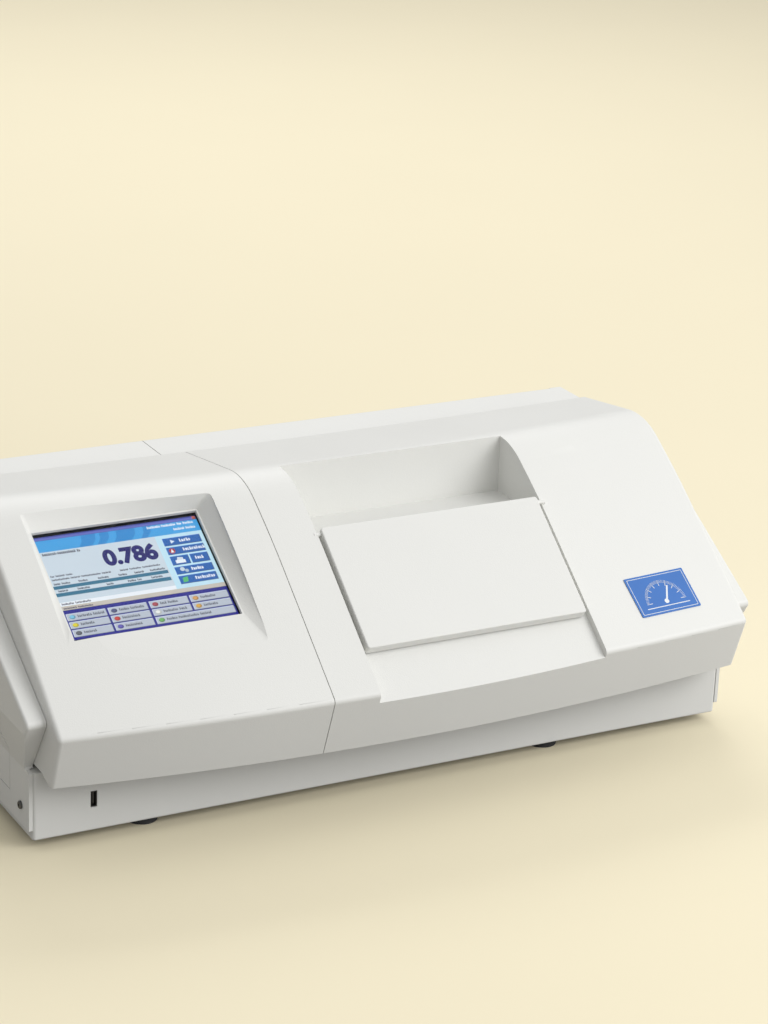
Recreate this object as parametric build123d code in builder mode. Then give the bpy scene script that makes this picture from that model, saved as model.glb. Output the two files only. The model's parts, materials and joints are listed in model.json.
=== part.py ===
from build123d import *
from math import asin, cos, degrees, pi, radians, sin, tan
import os

# Benchtop automatic polarimeter, in millimetres: +X right, +Y back, +Z up.
# The origin is the middle of the footprint, on the surface that the feet stand on.

os.makedirs("parts", exist_ok=True)

# Overall sizes
FOOT_H = 9.0
BASE_W = 680.0
BASE_H = 62.0
BASE_SHEET = 1.5
HOOD_W = 672.0
WALL = 3.0
RIDGE_Y = -197.4
RIDGE_Z = FOOT_H + 111.0
FASCIA_SET_BACK = 19.4
FASCIA_DROP = 56.0
OVERHANG = 65.9
BASE_FRONT_Y = RIDGE_Y + OVERHANG
REAR_PANEL_Y = 190.0
HOOD_REAR_Y = 116.0
REAR_COVER_Z = FOOT_H + 220.0

# The hood's side view: a straight slope, a slight bend, the crest and a top that falls to the rear.
# In plan the whole form follows a wide arc, so the front is gently bowed.
SLOPE = 38.0
UPPER_SLOPE = 33.5
TOP_FALL = 8.5
SLOPE_LEN = 130.0
BEND_R = 700.0
UPPER_LEN = 22.0
CREST_R = 72.0
BOW_R = 2955.0
BOW_HALF_ANGLE = 8.0

# The seam between the two hood sections
SEAM_X = -94.2
SEAM_GAP = 0.8
REAR_SEAM_X = -104.0

# The lid, its recess in the hood and the opening under it; s runs up the slope from the ridge
RECESS_X = (-51.0, 176.5)
RECESS_DEPTH = 9.5
RECESS_STEP_S = 164.0
RECESS_FLOOR_Z = FOOT_H + 194.0
RECESS_BACK_Y = BASE_FRONT_Y + 143.0
LID_X = (-47.5, 171.0)
LID_S = (44.3, 167.4)
LID_TOP = 2.0
LID_T = 9.0
LID_PIVOT_S = 163.0
LID_PIVOT_H = -2.5
MOUTH_X = (-42.0, 166.0)
MOUTH_S = (52.0, 156.0)
LID_BOSS_LEN = 9.0
HINGE_PIN_R = 2.0
RUN_FIT = 0.04

# The display and the pocket that it looks out of
SCREEN_W = 152.7
SCREEN_H = 114.5
SCREEN_X = -219.0
SCREEN_Y = BASE_FRONT_Y + 69.8
SCREEN_Z = FOOT_H + 194.1
SCREEN_TILT = 31.5
RIM_X = -216.4
RIM_W = 172.2
RIM_H = 158.0
RIM_TILT = 35.5
RIM_FOOT = (50.4, 39.4)

# The end panels and the fins at their top
END_INNER_X = 339.5
END_FOOT_X = 343.3
END_FIN_X = 354.0
END_BOTTOM_Z = FOOT_H + 9.0
END_STEP_Z = FOOT_H + 62.0
FIN_TIP_Y = BASE_FRONT_Y - 24.0
FIN_TIP_Z = FOOT_H + 116.5
FIN_SLOPE = 30.0
DOOR_Y = (-87.0, 30.0)
DOOR_BOTTOM_Z = 39.0
DOOR_CORNER_Z = 79.0
DOOR_GAP = 0.8
DOOR_PIN_Z = 41.5

# The optical axis and what stands along it
AXIS_Y = -107.0
AXIS_Z = 108.0
RAIL_W = 40.0
RAIL_X = (-278.0, 300.0)
RAIL_Z = 14.5
RAIL_TOP = RAIL_Z + RAIL_W
TUB_FLOOR_Z = 74.0
TUB_Y = (-152.0, -75.0)

# Feet
FOOT_R = 14.0
FOOT_X = (-232.0, 166.0)
FOOT_Y = (BASE_FRONT_Y + 23.0, 160.0)

FOOT_POINTS = [(x, y) for x in FOOT_X for y in FOOT_Y]
INSIDE_FLOOR_Z = FOOT_H + BASE_SHEET


def save(piece, name):
    """Labels a finished piece and writes it under its node's name."""
    piece.part.label = name
    export_step(piece.part, f"parts/{name}.step")


def slope_plane(height=0.0):
    """The plane of the lower slope at the middle of the hood, raised by height: local y runs up the slope."""
    tilt = radians(SLOPE)
    plane = Plane(origin=(0, RIDGE_Y, RIDGE_Z), x_dir=(1, 0, 0), z_dir=(0, -sin(tilt), cos(tilt)))
    return plane.offset(height)


def bowed_plane(x):
    """The same plane turned to touch the bowed hood at x."""
    tilt, turn = radians(SLOPE), asin(x / BOW_R)
    origin = (x, RIDGE_Y + BOW_R * (1 - cos(turn)), RIDGE_Z)
    normal = (sin(turn) * sin(tilt), -cos(turn) * sin(tilt), cos(tilt))
    return Plane(origin=origin, x_dir=(cos(turn), sin(turn), 0), z_dir=normal)


def slope_point(s, height=0.0):
    """The (y, z) of a point s up the slope and height above it."""
    tilt = radians(SLOPE)
    return (
        RIDGE_Y + s * cos(tilt) - height * sin(tilt),
        RIDGE_Z + s * sin(tilt) + height * cos(tilt),
    )


def screen_plane(height=0.0):
    """The plane of the display glass, raised by height."""
    tilt = radians(SCREEN_TILT)
    origin = (SCREEN_X, SCREEN_Y, SCREEN_Z)
    return Plane(origin=origin, x_dir=(1, 0, 0), z_dir=(0, -sin(tilt), cos(tilt))).offset(height)


def step_along(point, angle, length):
    """The point that lies length away from point at an angle above the horizontal."""
    return (point[0] + length * cos(radians(angle)), point[1] + length * sin(radians(angle)))


def arc_end(point, start, end, radius):
    """Where an arc ends that starts at point and turns down from one direction to another."""
    return (
        point[0] + radius * (sin(radians(start)) - sin(radians(end))),
        point[1] + radius * (cos(radians(end)) - cos(radians(start))),
    )


def hood_chain(inset):
    """Corners of the hood's side view, moved inwards by inset, from the fascia's foot to the top's rear end."""
    fascia_angle = degrees(asin(FASCIA_SET_BACK / FASCIA_DROP)) + 90
    foot = (RIDGE_Y + FASCIA_SET_BACK, RIDGE_Z - FASCIA_DROP)
    ridge = (RIDGE_Y, RIDGE_Z)
    slope_end = step_along(ridge, SLOPE, SLOPE_LEN)
    bend_end = arc_end(slope_end, SLOPE, UPPER_SLOPE, BEND_R)
    upper_end = step_along(bend_end, UPPER_SLOPE, UPPER_LEN)
    crest_end = arc_end(upper_end, UPPER_SLOPE, -TOP_FALL, CREST_R)
    rear_end = step_along(crest_end, -TOP_FALL, 150)
    mitre = (fascia_angle - SLOPE) / 2
    ridge_shift = inset / cos(radians(mitre))
    return [
        step_along(foot, fascia_angle - 90, inset),
        step_along(ridge, SLOPE + mitre - 90, ridge_shift),
        step_along(slope_end, SLOPE - 90, inset),
        step_along(bend_end, UPPER_SLOPE - 90, inset),
        step_along(upper_end, UPPER_SLOPE - 90, inset),
        step_along(crest_end, -TOP_FALL - 90, inset),
        step_along(rear_end, -TOP_FALL - 90, inset),
    ]


def hood_form(inset, half_width, floor_z, ridge_r, side_r):
    """The bowed solid under the hood's side view, cut off at the sides, the rear edge and floor_z."""
    foot, ridge, slope_end, bend_end, upper_end, crest_end, rear_end = hood_chain(inset)
    axis_y = RIDGE_Y + BOW_R
    turn = radians(-BOW_HALF_ANGLE)
    start = Plane(
        origin=(axis_y * sin(turn), axis_y * (1 - cos(turn)), 0),
        x_dir=(-sin(turn), cos(turn), 0),
        z_dir=(cos(turn), sin(turn), 0),
    )
    with BuildPart() as form:
        with BuildSketch(start):
            with BuildLine():
                FilletPolyline(foot, ridge, slope_end, radius=ridge_r)
                TangentArc(slope_end, bend_end, tangent=(cos(radians(SLOPE)), sin(radians(SLOPE))))
                Line(bend_end, upper_end)
                TangentArc(upper_end, crest_end, tangent=(cos(radians(UPPER_SLOPE)), sin(radians(UPPER_SLOPE))))
                Line(crest_end, rear_end)
                Polyline(rear_end, (rear_end[0], foot[1] - 60), (foot[0], foot[1] - 60), foot)
            make_face()
        revolve(axis=Axis((0, axis_y, 0), (0, 0, 1)), revolution_arc=2 * BOW_HALF_ANGLE)
        depth = HOOD_REAR_Y - inset - RIDGE_Y + 20
        with Locations((0, HOOD_REAR_Y - inset - depth / 2, floor_z + 200)):
            Box(2 * half_width, depth, 400, mode=Mode.INTERSECT)
        rim = [
            edge
            for edge in form.edges()
            if abs(abs(edge.center().X) - half_width) < 0.01
            and edge.center().Z > floor_z + 2
            and edge.center().Y < HOOD_REAR_Y - inset - 1
        ]
        fillet(rim, side_r)
    return form.part


def prism(x_range, outline):
    """A solid with a side outline of (y, z) points, from one x to another."""
    low, high = x_range
    with BuildPart() as solid:
        with BuildSketch(Plane.YZ.offset(low)):
            with BuildLine():
                Polyline(*outline, close=True)
            make_face()
        extrude(amount=high - low)
    return solid.part


# Hood: outer form, its hollow and what is cut into both sections
hood_outer = hood_form(0, HOOD_W / 2, RIDGE_Z - FASCIA_DROP, 5, 4)
hood_inner = hood_form(WALL, HOOD_W / 2 - WALL, 0, 2.5, 1)
foot_y, foot_z = hood_chain(0)[0]
side_foot = [(foot_y - 60, foot_z - 5), (foot_y, foot_z), (foot_y + 38, foot_z + 12), (300, foot_z + 12), (300, foot_z - 5)]
skirt_cut = prism((-HOOD_W, HOOD_W), side_foot)
lip_z = REAR_COVER_Z + 0.4

with BuildPart() as hood_shell:
    add(hood_outer)
    add(hood_inner, mode=Mode.SUBTRACT)
    add(skirt_cut, mode=Mode.SUBTRACT)
    with Locations((0, HOOD_REAR_Y, lip_z / 2)):
        Box(HOOD_W - 2 * WALL, 20, lip_z, mode=Mode.SUBTRACT)
    with Locations((0, HOOD_REAR_Y - 8, lip_z / 2)):
        Box(HOOD_W + 2, 40, lip_z, mode=Mode.SUBTRACT)


def seam_rib(x_low, x_high):
    """A flange inside the hood along the seam, where the two sections are screwed together."""
    deep = hood_form(12, HOOD_W / 2 - WALL, 0, 2.5, 1)
    with BuildPart() as rib:
        add(hood_outer)
        add(deep, mode=Mode.SUBTRACT)
        add(skirt_cut, mode=Mode.SUBTRACT)
        with Locations(((x_low + x_high) / 2, 0, 150)):
            Box(x_high - x_low, 500, 400, mode=Mode.INTERSECT)
        with Locations((0, HOOD_REAR_Y, lip_z / 2)):
            Box(HOOD_W, 40, lip_z, mode=Mode.SUBTRACT)
    return rib.part


def screen_pocket(grow, floor):
    """The pocket that narrows from its rim in the slope down to the display."""
    with BuildPart() as pocket:
        with BuildSketch(screen_plane(floor)):
            RectangleRounded(SCREEN_W + 3 + 2 * grow, SCREEN_H + 3 + 2 * grow, 2 + grow)
        tilt, turn = radians(RIM_TILT), asin(RIM_X / BOW_R)
        foot_y = RIDGE_Y + BOW_R * (1 - cos(turn)) + RIM_FOOT[0]
        normal = (sin(turn) * sin(tilt), -cos(turn) * sin(tilt), cos(tilt))
        rim = Plane(origin=(RIM_X, foot_y, RIDGE_Z + RIM_FOOT[1]), x_dir=(cos(turn), sin(turn), 0), z_dir=normal)
        lean = RIM_H * tan(turn) * cos(tilt)
        left, right = -RIM_W / 2 - grow, RIM_W / 2 + grow
        with BuildSketch(rim) as mouth:
            Polygon((left, -grow), (right, -grow), (right + lean, RIM_H + grow), (left + lean, RIM_H + grow), align=None)
            fillet(vertices(), 4 + grow)
        loft()
        extrude(mouth.sketch, amount=12)
    return pocket.part


# Display cover: the hood's left section
with BuildPart() as display_cover:
    add(hood_shell.part)
    add(screen_pocket(WALL, 0.3))
    add(hood_outer, mode=Mode.INTERSECT)
    add(screen_pocket(0, 0.3 + WALL), mode=Mode.SUBTRACT)
    with BuildSketch(screen_plane(-5)):
        Rectangle(SCREEN_W, SCREEN_H)
    extrude(amount=20, mode=Mode.SUBTRACT)
    with BuildSketch(screen_plane(-25)):
        Rectangle(SCREEN_W + 12.6, SCREEN_H + 6.6)
    extrude(amount=25.3, mode=Mode.SUBTRACT)
    add(seam_rib(SEAM_X - SEAM_GAP / 2 - 2.5, SEAM_X - SEAM_GAP / 2))
    with Locations((SEAM_X - SEAM_GAP / 2 - 250, 0, 150)):
        Box(500, 600, 400, mode=Mode.INTERSECT)
save(display_cover, "display_cover")

# Chamber cover: the hood's right section, with the recess that the lid lies and swings in
step_y, step_z = slope_point(RECESS_STEP_S, -RECESS_DEPTH)


def recess_outline(grow):
    """Side view of the recess: the ledge along the slope, the step behind the lid and the well up to the crest."""
    front = slope_point(-25, -RECESS_DEPTH - grow)
    step = slope_point(RECESS_STEP_S, -RECESS_DEPTH - grow)
    floor_z = RECESS_FLOOR_Z - grow
    back_y = RECESS_BACK_Y + grow
    return [front, (step_y - grow, step[1]), (step_y - grow, floor_z), (back_y, floor_z), (back_y, 300), (front[0], 300)]


pivot_y, pivot_z = slope_point(LID_PIVOT_S, LID_PIVOT_H)


def lid_pin_bore(radius, x_low, x_high):
    """A round bar on the lid's hinge axis."""
    with BuildPart() as bar:
        with BuildSketch(Plane.YZ.offset(x_low)):
            with Locations((pivot_y, pivot_z)):
                Circle(radius)
        extrude(amount=x_high - x_low)
    return bar.part


LID_PIN_X = [(RECESS_X[0] - WALL, LID_X[0] + LID_BOSS_LEN - 1), (LID_X[1] - LID_BOSS_LEN + 1, RECESS_X[1] + WALL)]

with BuildPart() as chamber_cover:
    add(hood_shell.part)
    add(prism((RECESS_X[0] - WALL, RECESS_X[1] + WALL), recess_outline(WALL)))
    add(hood_outer, mode=Mode.INTERSECT)
    add(prism(RECESS_X, recess_outline(0)), mode=Mode.SUBTRACT)
    with BuildSketch(slope_plane(-RECESS_DEPTH - WALL - 1)):
        with Locations((sum(MOUTH_X) / 2, sum(MOUTH_S) / 2)):
            RectangleRounded(MOUTH_X[1] - MOUTH_X[0], MOUTH_S[1] - MOUTH_S[0], 4)
    extrude(amount=WALL + 2, mode=Mode.SUBTRACT)
    for pin_x in LID_PIN_X:
        add(lid_pin_bore(HINGE_PIN_R, *pin_x), mode=Mode.SUBTRACT)
    add(seam_rib(SEAM_X + SEAM_GAP / 2, SEAM_X + SEAM_GAP / 2 + 2.5))
    with Locations((SEAM_X + SEAM_GAP / 2 + 300, 0, 150)):
        Box(600, 600, 400, mode=Mode.INTERSECT)
save(chamber_cover, "chamber_cover")

# Lid: a shallow moulding with a baffle that drops into the chamber mouth and two bosses for its hinge pins
lid_mid = (sum(LID_X) / 2, sum(LID_S) / 2)
lid_size = (LID_X[1] - LID_X[0], LID_S[1] - LID_S[0])
lid_bottom = LID_TOP - LID_T
mouth_mid = (sum(MOUTH_X) / 2, sum(MOUTH_S) / 2)
BAFFLE_GAP = 4.0

with BuildPart() as chamber_lid:
    with BuildSketch(slope_plane(lid_bottom)):
        with Locations(lid_mid):
            RectangleRounded(*lid_size, 2.5)
    extrude(amount=LID_T)
    fillet(chamber_lid.faces().sort_by(Axis(slope_plane().origin, slope_plane().z_dir))[-1].edges(), 1.2)
    with BuildSketch(slope_plane(lid_bottom)):
        with Locations(lid_mid):
            RectangleRounded(lid_size[0] - 6, lid_size[1] - 6, 1.5)
    extrude(amount=LID_T - WALL, mode=Mode.SUBTRACT)
    with BuildSketch(slope_plane(lid_bottom - 4)):
        with Locations(mouth_mid):
            Rectangle(MOUTH_X[1] - MOUTH_X[0] - 2 * BAFFLE_GAP, MOUTH_S[1] - MOUTH_S[0] - 2 * BAFFLE_GAP)
            Rectangle(
                MOUTH_X[1] - MOUTH_X[0] - 2 * BAFFLE_GAP - 4,
                MOUTH_S[1] - MOUTH_S[0] - 2 * BAFFLE_GAP - 4,
                mode=Mode.SUBTRACT,
            )
    extrude(amount=LID_T - WALL + 4)
    with BuildSketch(slope_plane(lid_bottom)):
        for side_x in (LID_X[0] + LID_BOSS_LEN / 2, LID_X[1] - LID_BOSS_LEN / 2):
            with Locations((side_x, LID_PIVOT_S - 0.6)):
                Rectangle(LID_BOSS_LEN - 2, 9)
    extrude(amount=LID_T - 1.5)
    for pin_x in LID_PIN_X:
        add(lid_pin_bore(HINGE_PIN_R + RUN_FIT, *pin_x), mode=Mode.SUBTRACT)
save(chamber_lid, "chamber_lid")

with BuildPart() as lid_hinge_pins:
    for pin_x in LID_PIN_X:
        add(lid_pin_bore(HINGE_PIN_R, *pin_x))
save(lid_hinge_pins, "lid_hinge_pins")

with BuildPart() as lid_bumpers:
    with BuildSketch(slope_plane(-RECESS_DEPTH)):
        with Locations((LID_X[0] + 1.5, LID_S[0] + 4.5), (LID_X[1] - 1.5, LID_S[0] + 4.5)):
            Circle(2.8)
    extrude(amount=RECESS_DEPTH + lid_bottom - 0.3)
save(lid_bumpers, "lid_bumpers")

# End panels: a plate below that flares out into a hollow fin along the top
def end_side(inset):
    """Everything under an end panel's side outline, which is rounded at the fin's tip and where it levels off."""
    rear_y = REAR_PANEL_Y + 2.5 - inset
    front_y = BASE_FRONT_Y + 0.5 + inset
    lift = inset / cos(radians(FIN_SLOPE))
    top_z = REAR_COVER_Z - inset
    level_y = FIN_TIP_Y + (top_z + lift - FIN_TIP_Z) / tan(radians(FIN_SLOPE))
    with BuildPart() as side:
        with BuildSketch(Plane.YZ):
            with BuildLine():
                FilletPolyline(
                    (rear_y, END_BOTTOM_Z + inset),
                    (front_y, END_BOTTOM_Z + inset),
                    (front_y, END_STEP_Z),
                    (BASE_FRONT_Y + 10.3 + inset, END_STEP_Z + 1),
                    (FIN_TIP_Y + 1.5 * inset, FIN_TIP_Z - lift / 4),
                    (level_y, top_z),
                    (rear_y, top_z),
                    radius=[0, 1, 1, 2, 5, 110, 0],
                    close=True,
                )
            make_face()
        extrude(amount=400)
    return side.part


def end_section(outer_shift, inner_shift):
    """A bar with an end panel's cross-section, its outer side moved in and its inner side moved out."""
    top = REAR_COVER_Z + 20
    crease_z = FIN_TIP_Z - 10
    foot_x = END_FOOT_X - outer_shift
    fin_x = END_FIN_X - outer_shift
    with BuildPart() as bar:
        with BuildSketch(Plane.XZ.offset(300)):
            with BuildLine():
                Polyline(
                    (BASE_W / 2 - inner_shift, 0),
                    (foot_x, 0),
                    (foot_x, END_STEP_Z),
                    (fin_x, crease_z),
                    (fin_x, top),
                    (END_INNER_X - inner_shift, top),
                    (END_INNER_X - inner_shift, END_STEP_Z + 1),
                    (BASE_W / 2 - inner_shift, END_STEP_Z + 1),
                    close=True,
                )
            make_face()
        extrude(amount=-600)
    return bar.part


# A flange round the fin's inner side closes the gap to the hood's cheek
with BuildPart() as end_flange:
    add(end_side(0.8))
    add(end_side(7), mode=Mode.SUBTRACT)
    flange_x = (HOOD_W / 2 + 0.4, END_INNER_X + 0.5)
    flange_y = (RIDGE_Y, HOOD_REAR_Y - 30)
    with Locations((sum(flange_x) / 2, sum(flange_y) / 2, END_STEP_Z + 1 + 100)):
        Box(flange_x[1] - flange_x[0], flange_y[1] - flange_y[0], 200, mode=Mode.INTERSECT)

with BuildPart() as end_solid:
    add(end_section(0, 0))
    add(end_side(0), mode=Mode.INTERSECT)
    add(end_flange.part)
    fin_edges = end_solid.edges().filter_by_position(Axis.X, END_FIN_X - 0.01, END_FIN_X + 0.01)
    fillet(fin_edges.sort_by(Axis.Z)[1:], 2.5)

with BuildPart() as end_hollow:
    add(end_section(WALL, 1))
    add(end_side(WALL), mode=Mode.INTERSECT)
    with Locations((END_INNER_X, 0, END_STEP_Z / 2 + 1)):
        Box(40, 600, END_STEP_Z + 2, mode=Mode.SUBTRACT)

END_SCREW_POINTS = [(BASE_FRONT_Y + 18.6, FOOT_H + 26.5), (-20, FOOT_H + 18), (150, FOOT_H + 26.5)]
SCREW_HOLE_R = 2.2

with BuildPart() as right_end_panel:
    add(end_solid.part)
    add(end_hollow.part, mode=Mode.SUBTRACT)
    with BuildSketch(Plane.YZ.offset(BASE_W / 2 - 1)):
        with Locations(*END_SCREW_POINTS):
            Circle(SCREW_HOLE_R)
    extrude(amount=10, mode=Mode.SUBTRACT)
save(right_end_panel, "right_end_panel")


def door_outline(grow):
    """Side view of the lamp door, its top edge parallel to the fin."""
    front, rear = DOOR_Y[0] - grow, DOOR_Y[1] + grow
    rise = (rear - front - 8) * tan(radians(FIN_SLOPE))
    return [
        (front, DOOR_BOTTOM_Z - grow),
        (rear, DOOR_BOTTOM_Z - grow),
        (rear, DOOR_CORNER_Z + 6 + rise + grow),
        (front + 8, DOOR_CORNER_Z + 6 + grow),
        (front, DOOR_CORNER_Z + grow),
    ]


DOOR_PIN_R = 1.0
DOOR_X = END_FOOT_X - WALL / 2


def door_pin_bore(radius, y_low, y_high):
    """A cylinder along the lamp door's hinge line."""
    with BuildPart() as bore:
        with BuildSketch(Plane.XZ.offset(-y_low)):
            with Locations((-DOOR_X, DOOR_PIN_Z)):
                Circle(radius)
        extrude(amount=-(y_high - y_low))
    return bore.part


with BuildPart() as left_end_panel:
    add(mirror(right_end_panel.part, about=Plane.YZ))
    add(prism((-END_FIN_X - 5, -END_INNER_X + 2), door_outline(DOOR_GAP)), mode=Mode.SUBTRACT)
    add(door_pin_bore(DOOR_PIN_R, DOOR_Y[0] - 4, DOOR_Y[1] + 4), mode=Mode.SUBTRACT)
save(left_end_panel, "left_end_panel")

with BuildPart() as lamp_door:
    add(mirror(end_solid.part, about=Plane.YZ))
    add(mirror(end_hollow.part, about=Plane.YZ), mode=Mode.SUBTRACT)
    add(prism((-END_FIN_X - 5, -END_INNER_X + 2), door_outline(0)), mode=Mode.INTERSECT)
    with BuildSketch(Plane.XY.offset(DOOR_BOTTOM_Z)):
        with Locations((-DOOR_X, sum(DOOR_Y) / 2)):
            Rectangle(WALL, DOOR_Y[1] - DOOR_Y[0])
    extrude(amount=4)
    add(door_pin_bore(DOOR_PIN_R + RUN_FIT, DOOR_Y[0] - 1, DOOR_Y[1] + 1), mode=Mode.SUBTRACT)
save(lamp_door, "lamp_door")

with BuildPart() as lamp_door_pin:
    add(door_pin_bore(DOOR_PIN_R, DOOR_Y[0] - 4, DOOR_Y[1] + 4))
save(lamp_door_pin, "lamp_door_pin")

PANEL_SCREWS = [(x, z) for x in (-325, 0, 325) for z in (24, 205)]

# Base tray: a folded sheet with a flange round its open top and a slot for the front port
USB_X = -285.5
USB_Z = FOOT_H + 29.0
USB_SLOT = (6.0, 15.0)
tray_depth = REAR_PANEL_Y - 2.3 - BASE_FRONT_Y
tray_mid_y = BASE_FRONT_Y + tray_depth / 2

with BuildPart() as base_tray:
    with BuildSketch(Plane.XY.offset(FOOT_H)):
        with Locations((0, tray_mid_y)):
            Rectangle(BASE_W, tray_depth)
    extrude(amount=BASE_H)
    fillet(base_tray.faces().sort_by(Axis.Y)[0].edges().filter_by(Axis.Z), 3)
    fillet(base_tray.faces().sort_by(Axis.Z)[0].edges(), 1.8)
    with BuildSketch(Plane.XY.offset(INSIDE_FLOOR_Z)):
        with Locations((0, tray_mid_y)):
            Rectangle(BASE_W - 2 * BASE_SHEET, tray_depth - 2 * BASE_SHEET)
    extrude(amount=BASE_H - 2 * BASE_SHEET, mode=Mode.SUBTRACT)
    with BuildSketch(Plane.XY.offset(FOOT_H + BASE_H - BASE_SHEET)):
        with Locations((0, tray_mid_y)):
            Rectangle(BASE_W - 24, tray_depth - 2 * BASE_SHEET)
    extrude(amount=10, mode=Mode.SUBTRACT)
    with BuildSketch(Plane.XZ.offset(-BASE_FRONT_Y + 1)):
        with Locations((USB_X, USB_Z)):
            Rectangle(*USB_SLOT)
    extrude(amount=-5, mode=Mode.SUBTRACT)
    with BuildSketch(Plane.XZ.offset(-REAR_PANEL_Y - 5)):
        with Locations((0, FOOT_H + BASE_H)):
            Rectangle(BASE_W - 40, 2 * BASE_H - 40)
    extrude(amount=12, mode=Mode.SUBTRACT)
    with BuildSketch(Plane.XY.offset(FOOT_H - 1)):
        with Locations(*FOOT_POINTS):
            Circle(SCREW_HOLE_R)
        with Locations((0, 80)):
            with GridLocations(20, 40, 10, 2):
                Rectangle(4, 26)
    extrude(amount=4, mode=Mode.SUBTRACT)
    with BuildSketch(Plane.YZ.offset(-BASE_W)):
        with Locations(*END_SCREW_POINTS):
            Circle(SCREW_HOLE_R - 0.4)
    extrude(amount=2 * BASE_W, mode=Mode.SUBTRACT)
    with BuildSketch(Plane.XZ.offset(-REAR_PANEL_Y)):
        with Locations(*PANEL_SCREWS):
            Circle(SCREW_HOLE_R - 0.5)
    extrude(amount=12, mode=Mode.SUBTRACT)
    with BuildSketch(Plane.XY.offset(INSIDE_FLOOR_Z)):
        with Locations((-40, 60)):
            with GridLocations(180, 130, 2, 2):
                RegularPolygon(3.5, 6)
    extrude(amount=8)
    with Locations((-BASE_W / 2, sum(DOOR_Y) / 2, DOOR_BOTTOM_Z + 20)):
        Box(30, DOOR_Y[1] - DOOR_Y[0] + 4, 42, mode=Mode.SUBTRACT)
save(base_tray, "base_tray")

with BuildPart() as feet:
    with BuildSketch():
        with Locations(*FOOT_POINTS):
            Circle(FOOT_R)
    extrude(amount=FOOT_H, taper=3)
    with BuildSketch():
        with Locations(*FOOT_POINTS):
            Circle(5)
    extrude(amount=3, mode=Mode.SUBTRACT)
    with BuildSketch():
        with Locations(*FOOT_POINTS):
            Circle(SCREW_HOLE_R)
    extrude(amount=FOOT_H, mode=Mode.SUBTRACT)
save(feet, "feet")

with BuildPart() as foot_screws:
    with BuildSketch(Plane.XY.offset(1)):
        with Locations(*FOOT_POINTS):
            Circle(4.2)
    extrude(amount=2)
    with BuildSketch(Plane.XY.offset(3)):
        with Locations(*FOOT_POINTS):
            Circle(SCREW_HOLE_R - 0.3)
    extrude(amount=FOOT_H)
save(foot_screws, "foot_screws")

with BuildPart() as end_panel_screws:
    with BuildSketch(Plane.YZ.offset(END_FOOT_X)):
        with Locations(*END_SCREW_POINTS):
            Circle(3.6)
    extrude(amount=2.2)
    chamfer(end_panel_screws.faces().group_by(Axis.X)[-1].edges(), 0.7)
    with BuildSketch(Plane.YZ.offset(END_FOOT_X + 1.4)):
        with Locations(*END_SCREW_POINTS):
            RegularPolygon(1.6, 6)
    extrude(amount=2, mode=Mode.SUBTRACT)
    with BuildSketch(Plane.YZ.offset(END_FOOT_X - 9)):
        with Locations(*END_SCREW_POINTS):
            Circle(SCREW_HOLE_R - 0.5)
    extrude(amount=9)
    mirror(about=Plane.YZ)
save(end_panel_screws, "end_panel_screws")


def cylinder_x(x_low, x_high, radius, y=AXIS_Y, z=AXIS_Z, bore=0.0):
    """A round bar or tube along X, on the optical axis unless placed elsewhere."""
    with BuildPart() as bar:
        with BuildSketch(Plane.YZ.offset(x_low)):
            with Locations((y, z)):
                Circle(radius)
                if bore:
                    Circle(bore, mode=Mode.SUBTRACT)
        extrude(amount=x_high - x_low)
    return bar.part


def block(x_range, y_range, z_range):
    """A plain block between two corners."""
    with BuildPart() as solid:
        with Locations((sum(x_range) / 2, sum(y_range) / 2, sum(z_range) / 2)):
            Box(x_range[1] - x_range[0], y_range[1] - y_range[0], z_range[1] - z_range[0])
    return solid.part


# Rear: the two cover strips and the panel that carries the fan, the inlet and the connectors
def rear_strip(x_low, x_high):
    """A strip of the rear top cover with its lip down the back."""
    with BuildPart() as strip:
        with BuildSketch(Plane.YZ.offset(x_low)):
            with BuildLine():
                Polyline(
                    (HOOD_REAR_Y - 22, REAR_COVER_Z),
                    (REAR_PANEL_Y + 2.5, REAR_COVER_Z),
                    (REAR_PANEL_Y + 2.5, REAR_COVER_Z - 14),
                    (REAR_PANEL_Y, REAR_COVER_Z - 14),
                    (REAR_PANEL_Y, REAR_COVER_Z - WALL),
                    (HOOD_REAR_Y - 22, REAR_COVER_Z - WALL),
                    close=True,
                )
            make_face()
        extrude(amount=x_high - x_low)
        top_back = strip.edges().filter_by(Axis.X).group_by(Axis.Z)[-1].sort_by(Axis.Y)[-1]
        fillet(top_back, 2.2)
    return strip.part


with BuildPart() as rear_cover_left:
    add(rear_strip(-END_INNER_X, REAR_SEAM_X - SEAM_GAP / 2))
save(rear_cover_left, "rear_cover_left")

with BuildPart() as rear_cover_right:
    add(rear_strip(REAR_SEAM_X + SEAM_GAP / 2, END_INNER_X))
save(rear_cover_right, "rear_cover_right")

FAN_X, FAN_Z, FAN_R = -220.0, 122.0, 37.5
INLET_X, INLET_Z = 262.0, 72.0
PORT_Z = 60.0
PORTS = {-60.0: (31.0, 12.5), -10.0: (16.5, 13.5), 25.0: (14.5, 16.5)}

with BuildPart() as rear_panel:
    with BuildSketch(Plane.XZ.offset(-REAR_PANEL_Y)):
        with Locations((0, (15 + REAR_COVER_Z - WALL) / 2)):
            Rectangle(2 * END_INNER_X - 1, REAR_COVER_Z - WALL - 15)
        with Locations((FAN_X, FAN_Z)):
            Circle(FAN_R, mode=Mode.SUBTRACT)
        with Locations((INLET_X, INLET_Z)):
            Rectangle(28, 58, mode=Mode.SUBTRACT)
        for port_x, port_size in PORTS.items():
            with Locations((port_x, PORT_Z)):
                Rectangle(*port_size, mode=Mode.SUBTRACT)
        with Locations((120, 150)):
            with GridLocations(12, 30, 14, 2):
                Rectangle(4, 22, mode=Mode.SUBTRACT)
        with Locations(*PANEL_SCREWS):
            Circle(SCREW_HOLE_R - 0.5, mode=Mode.SUBTRACT)
    extrude(amount=2)
save(rear_panel, "rear_panel")

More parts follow.
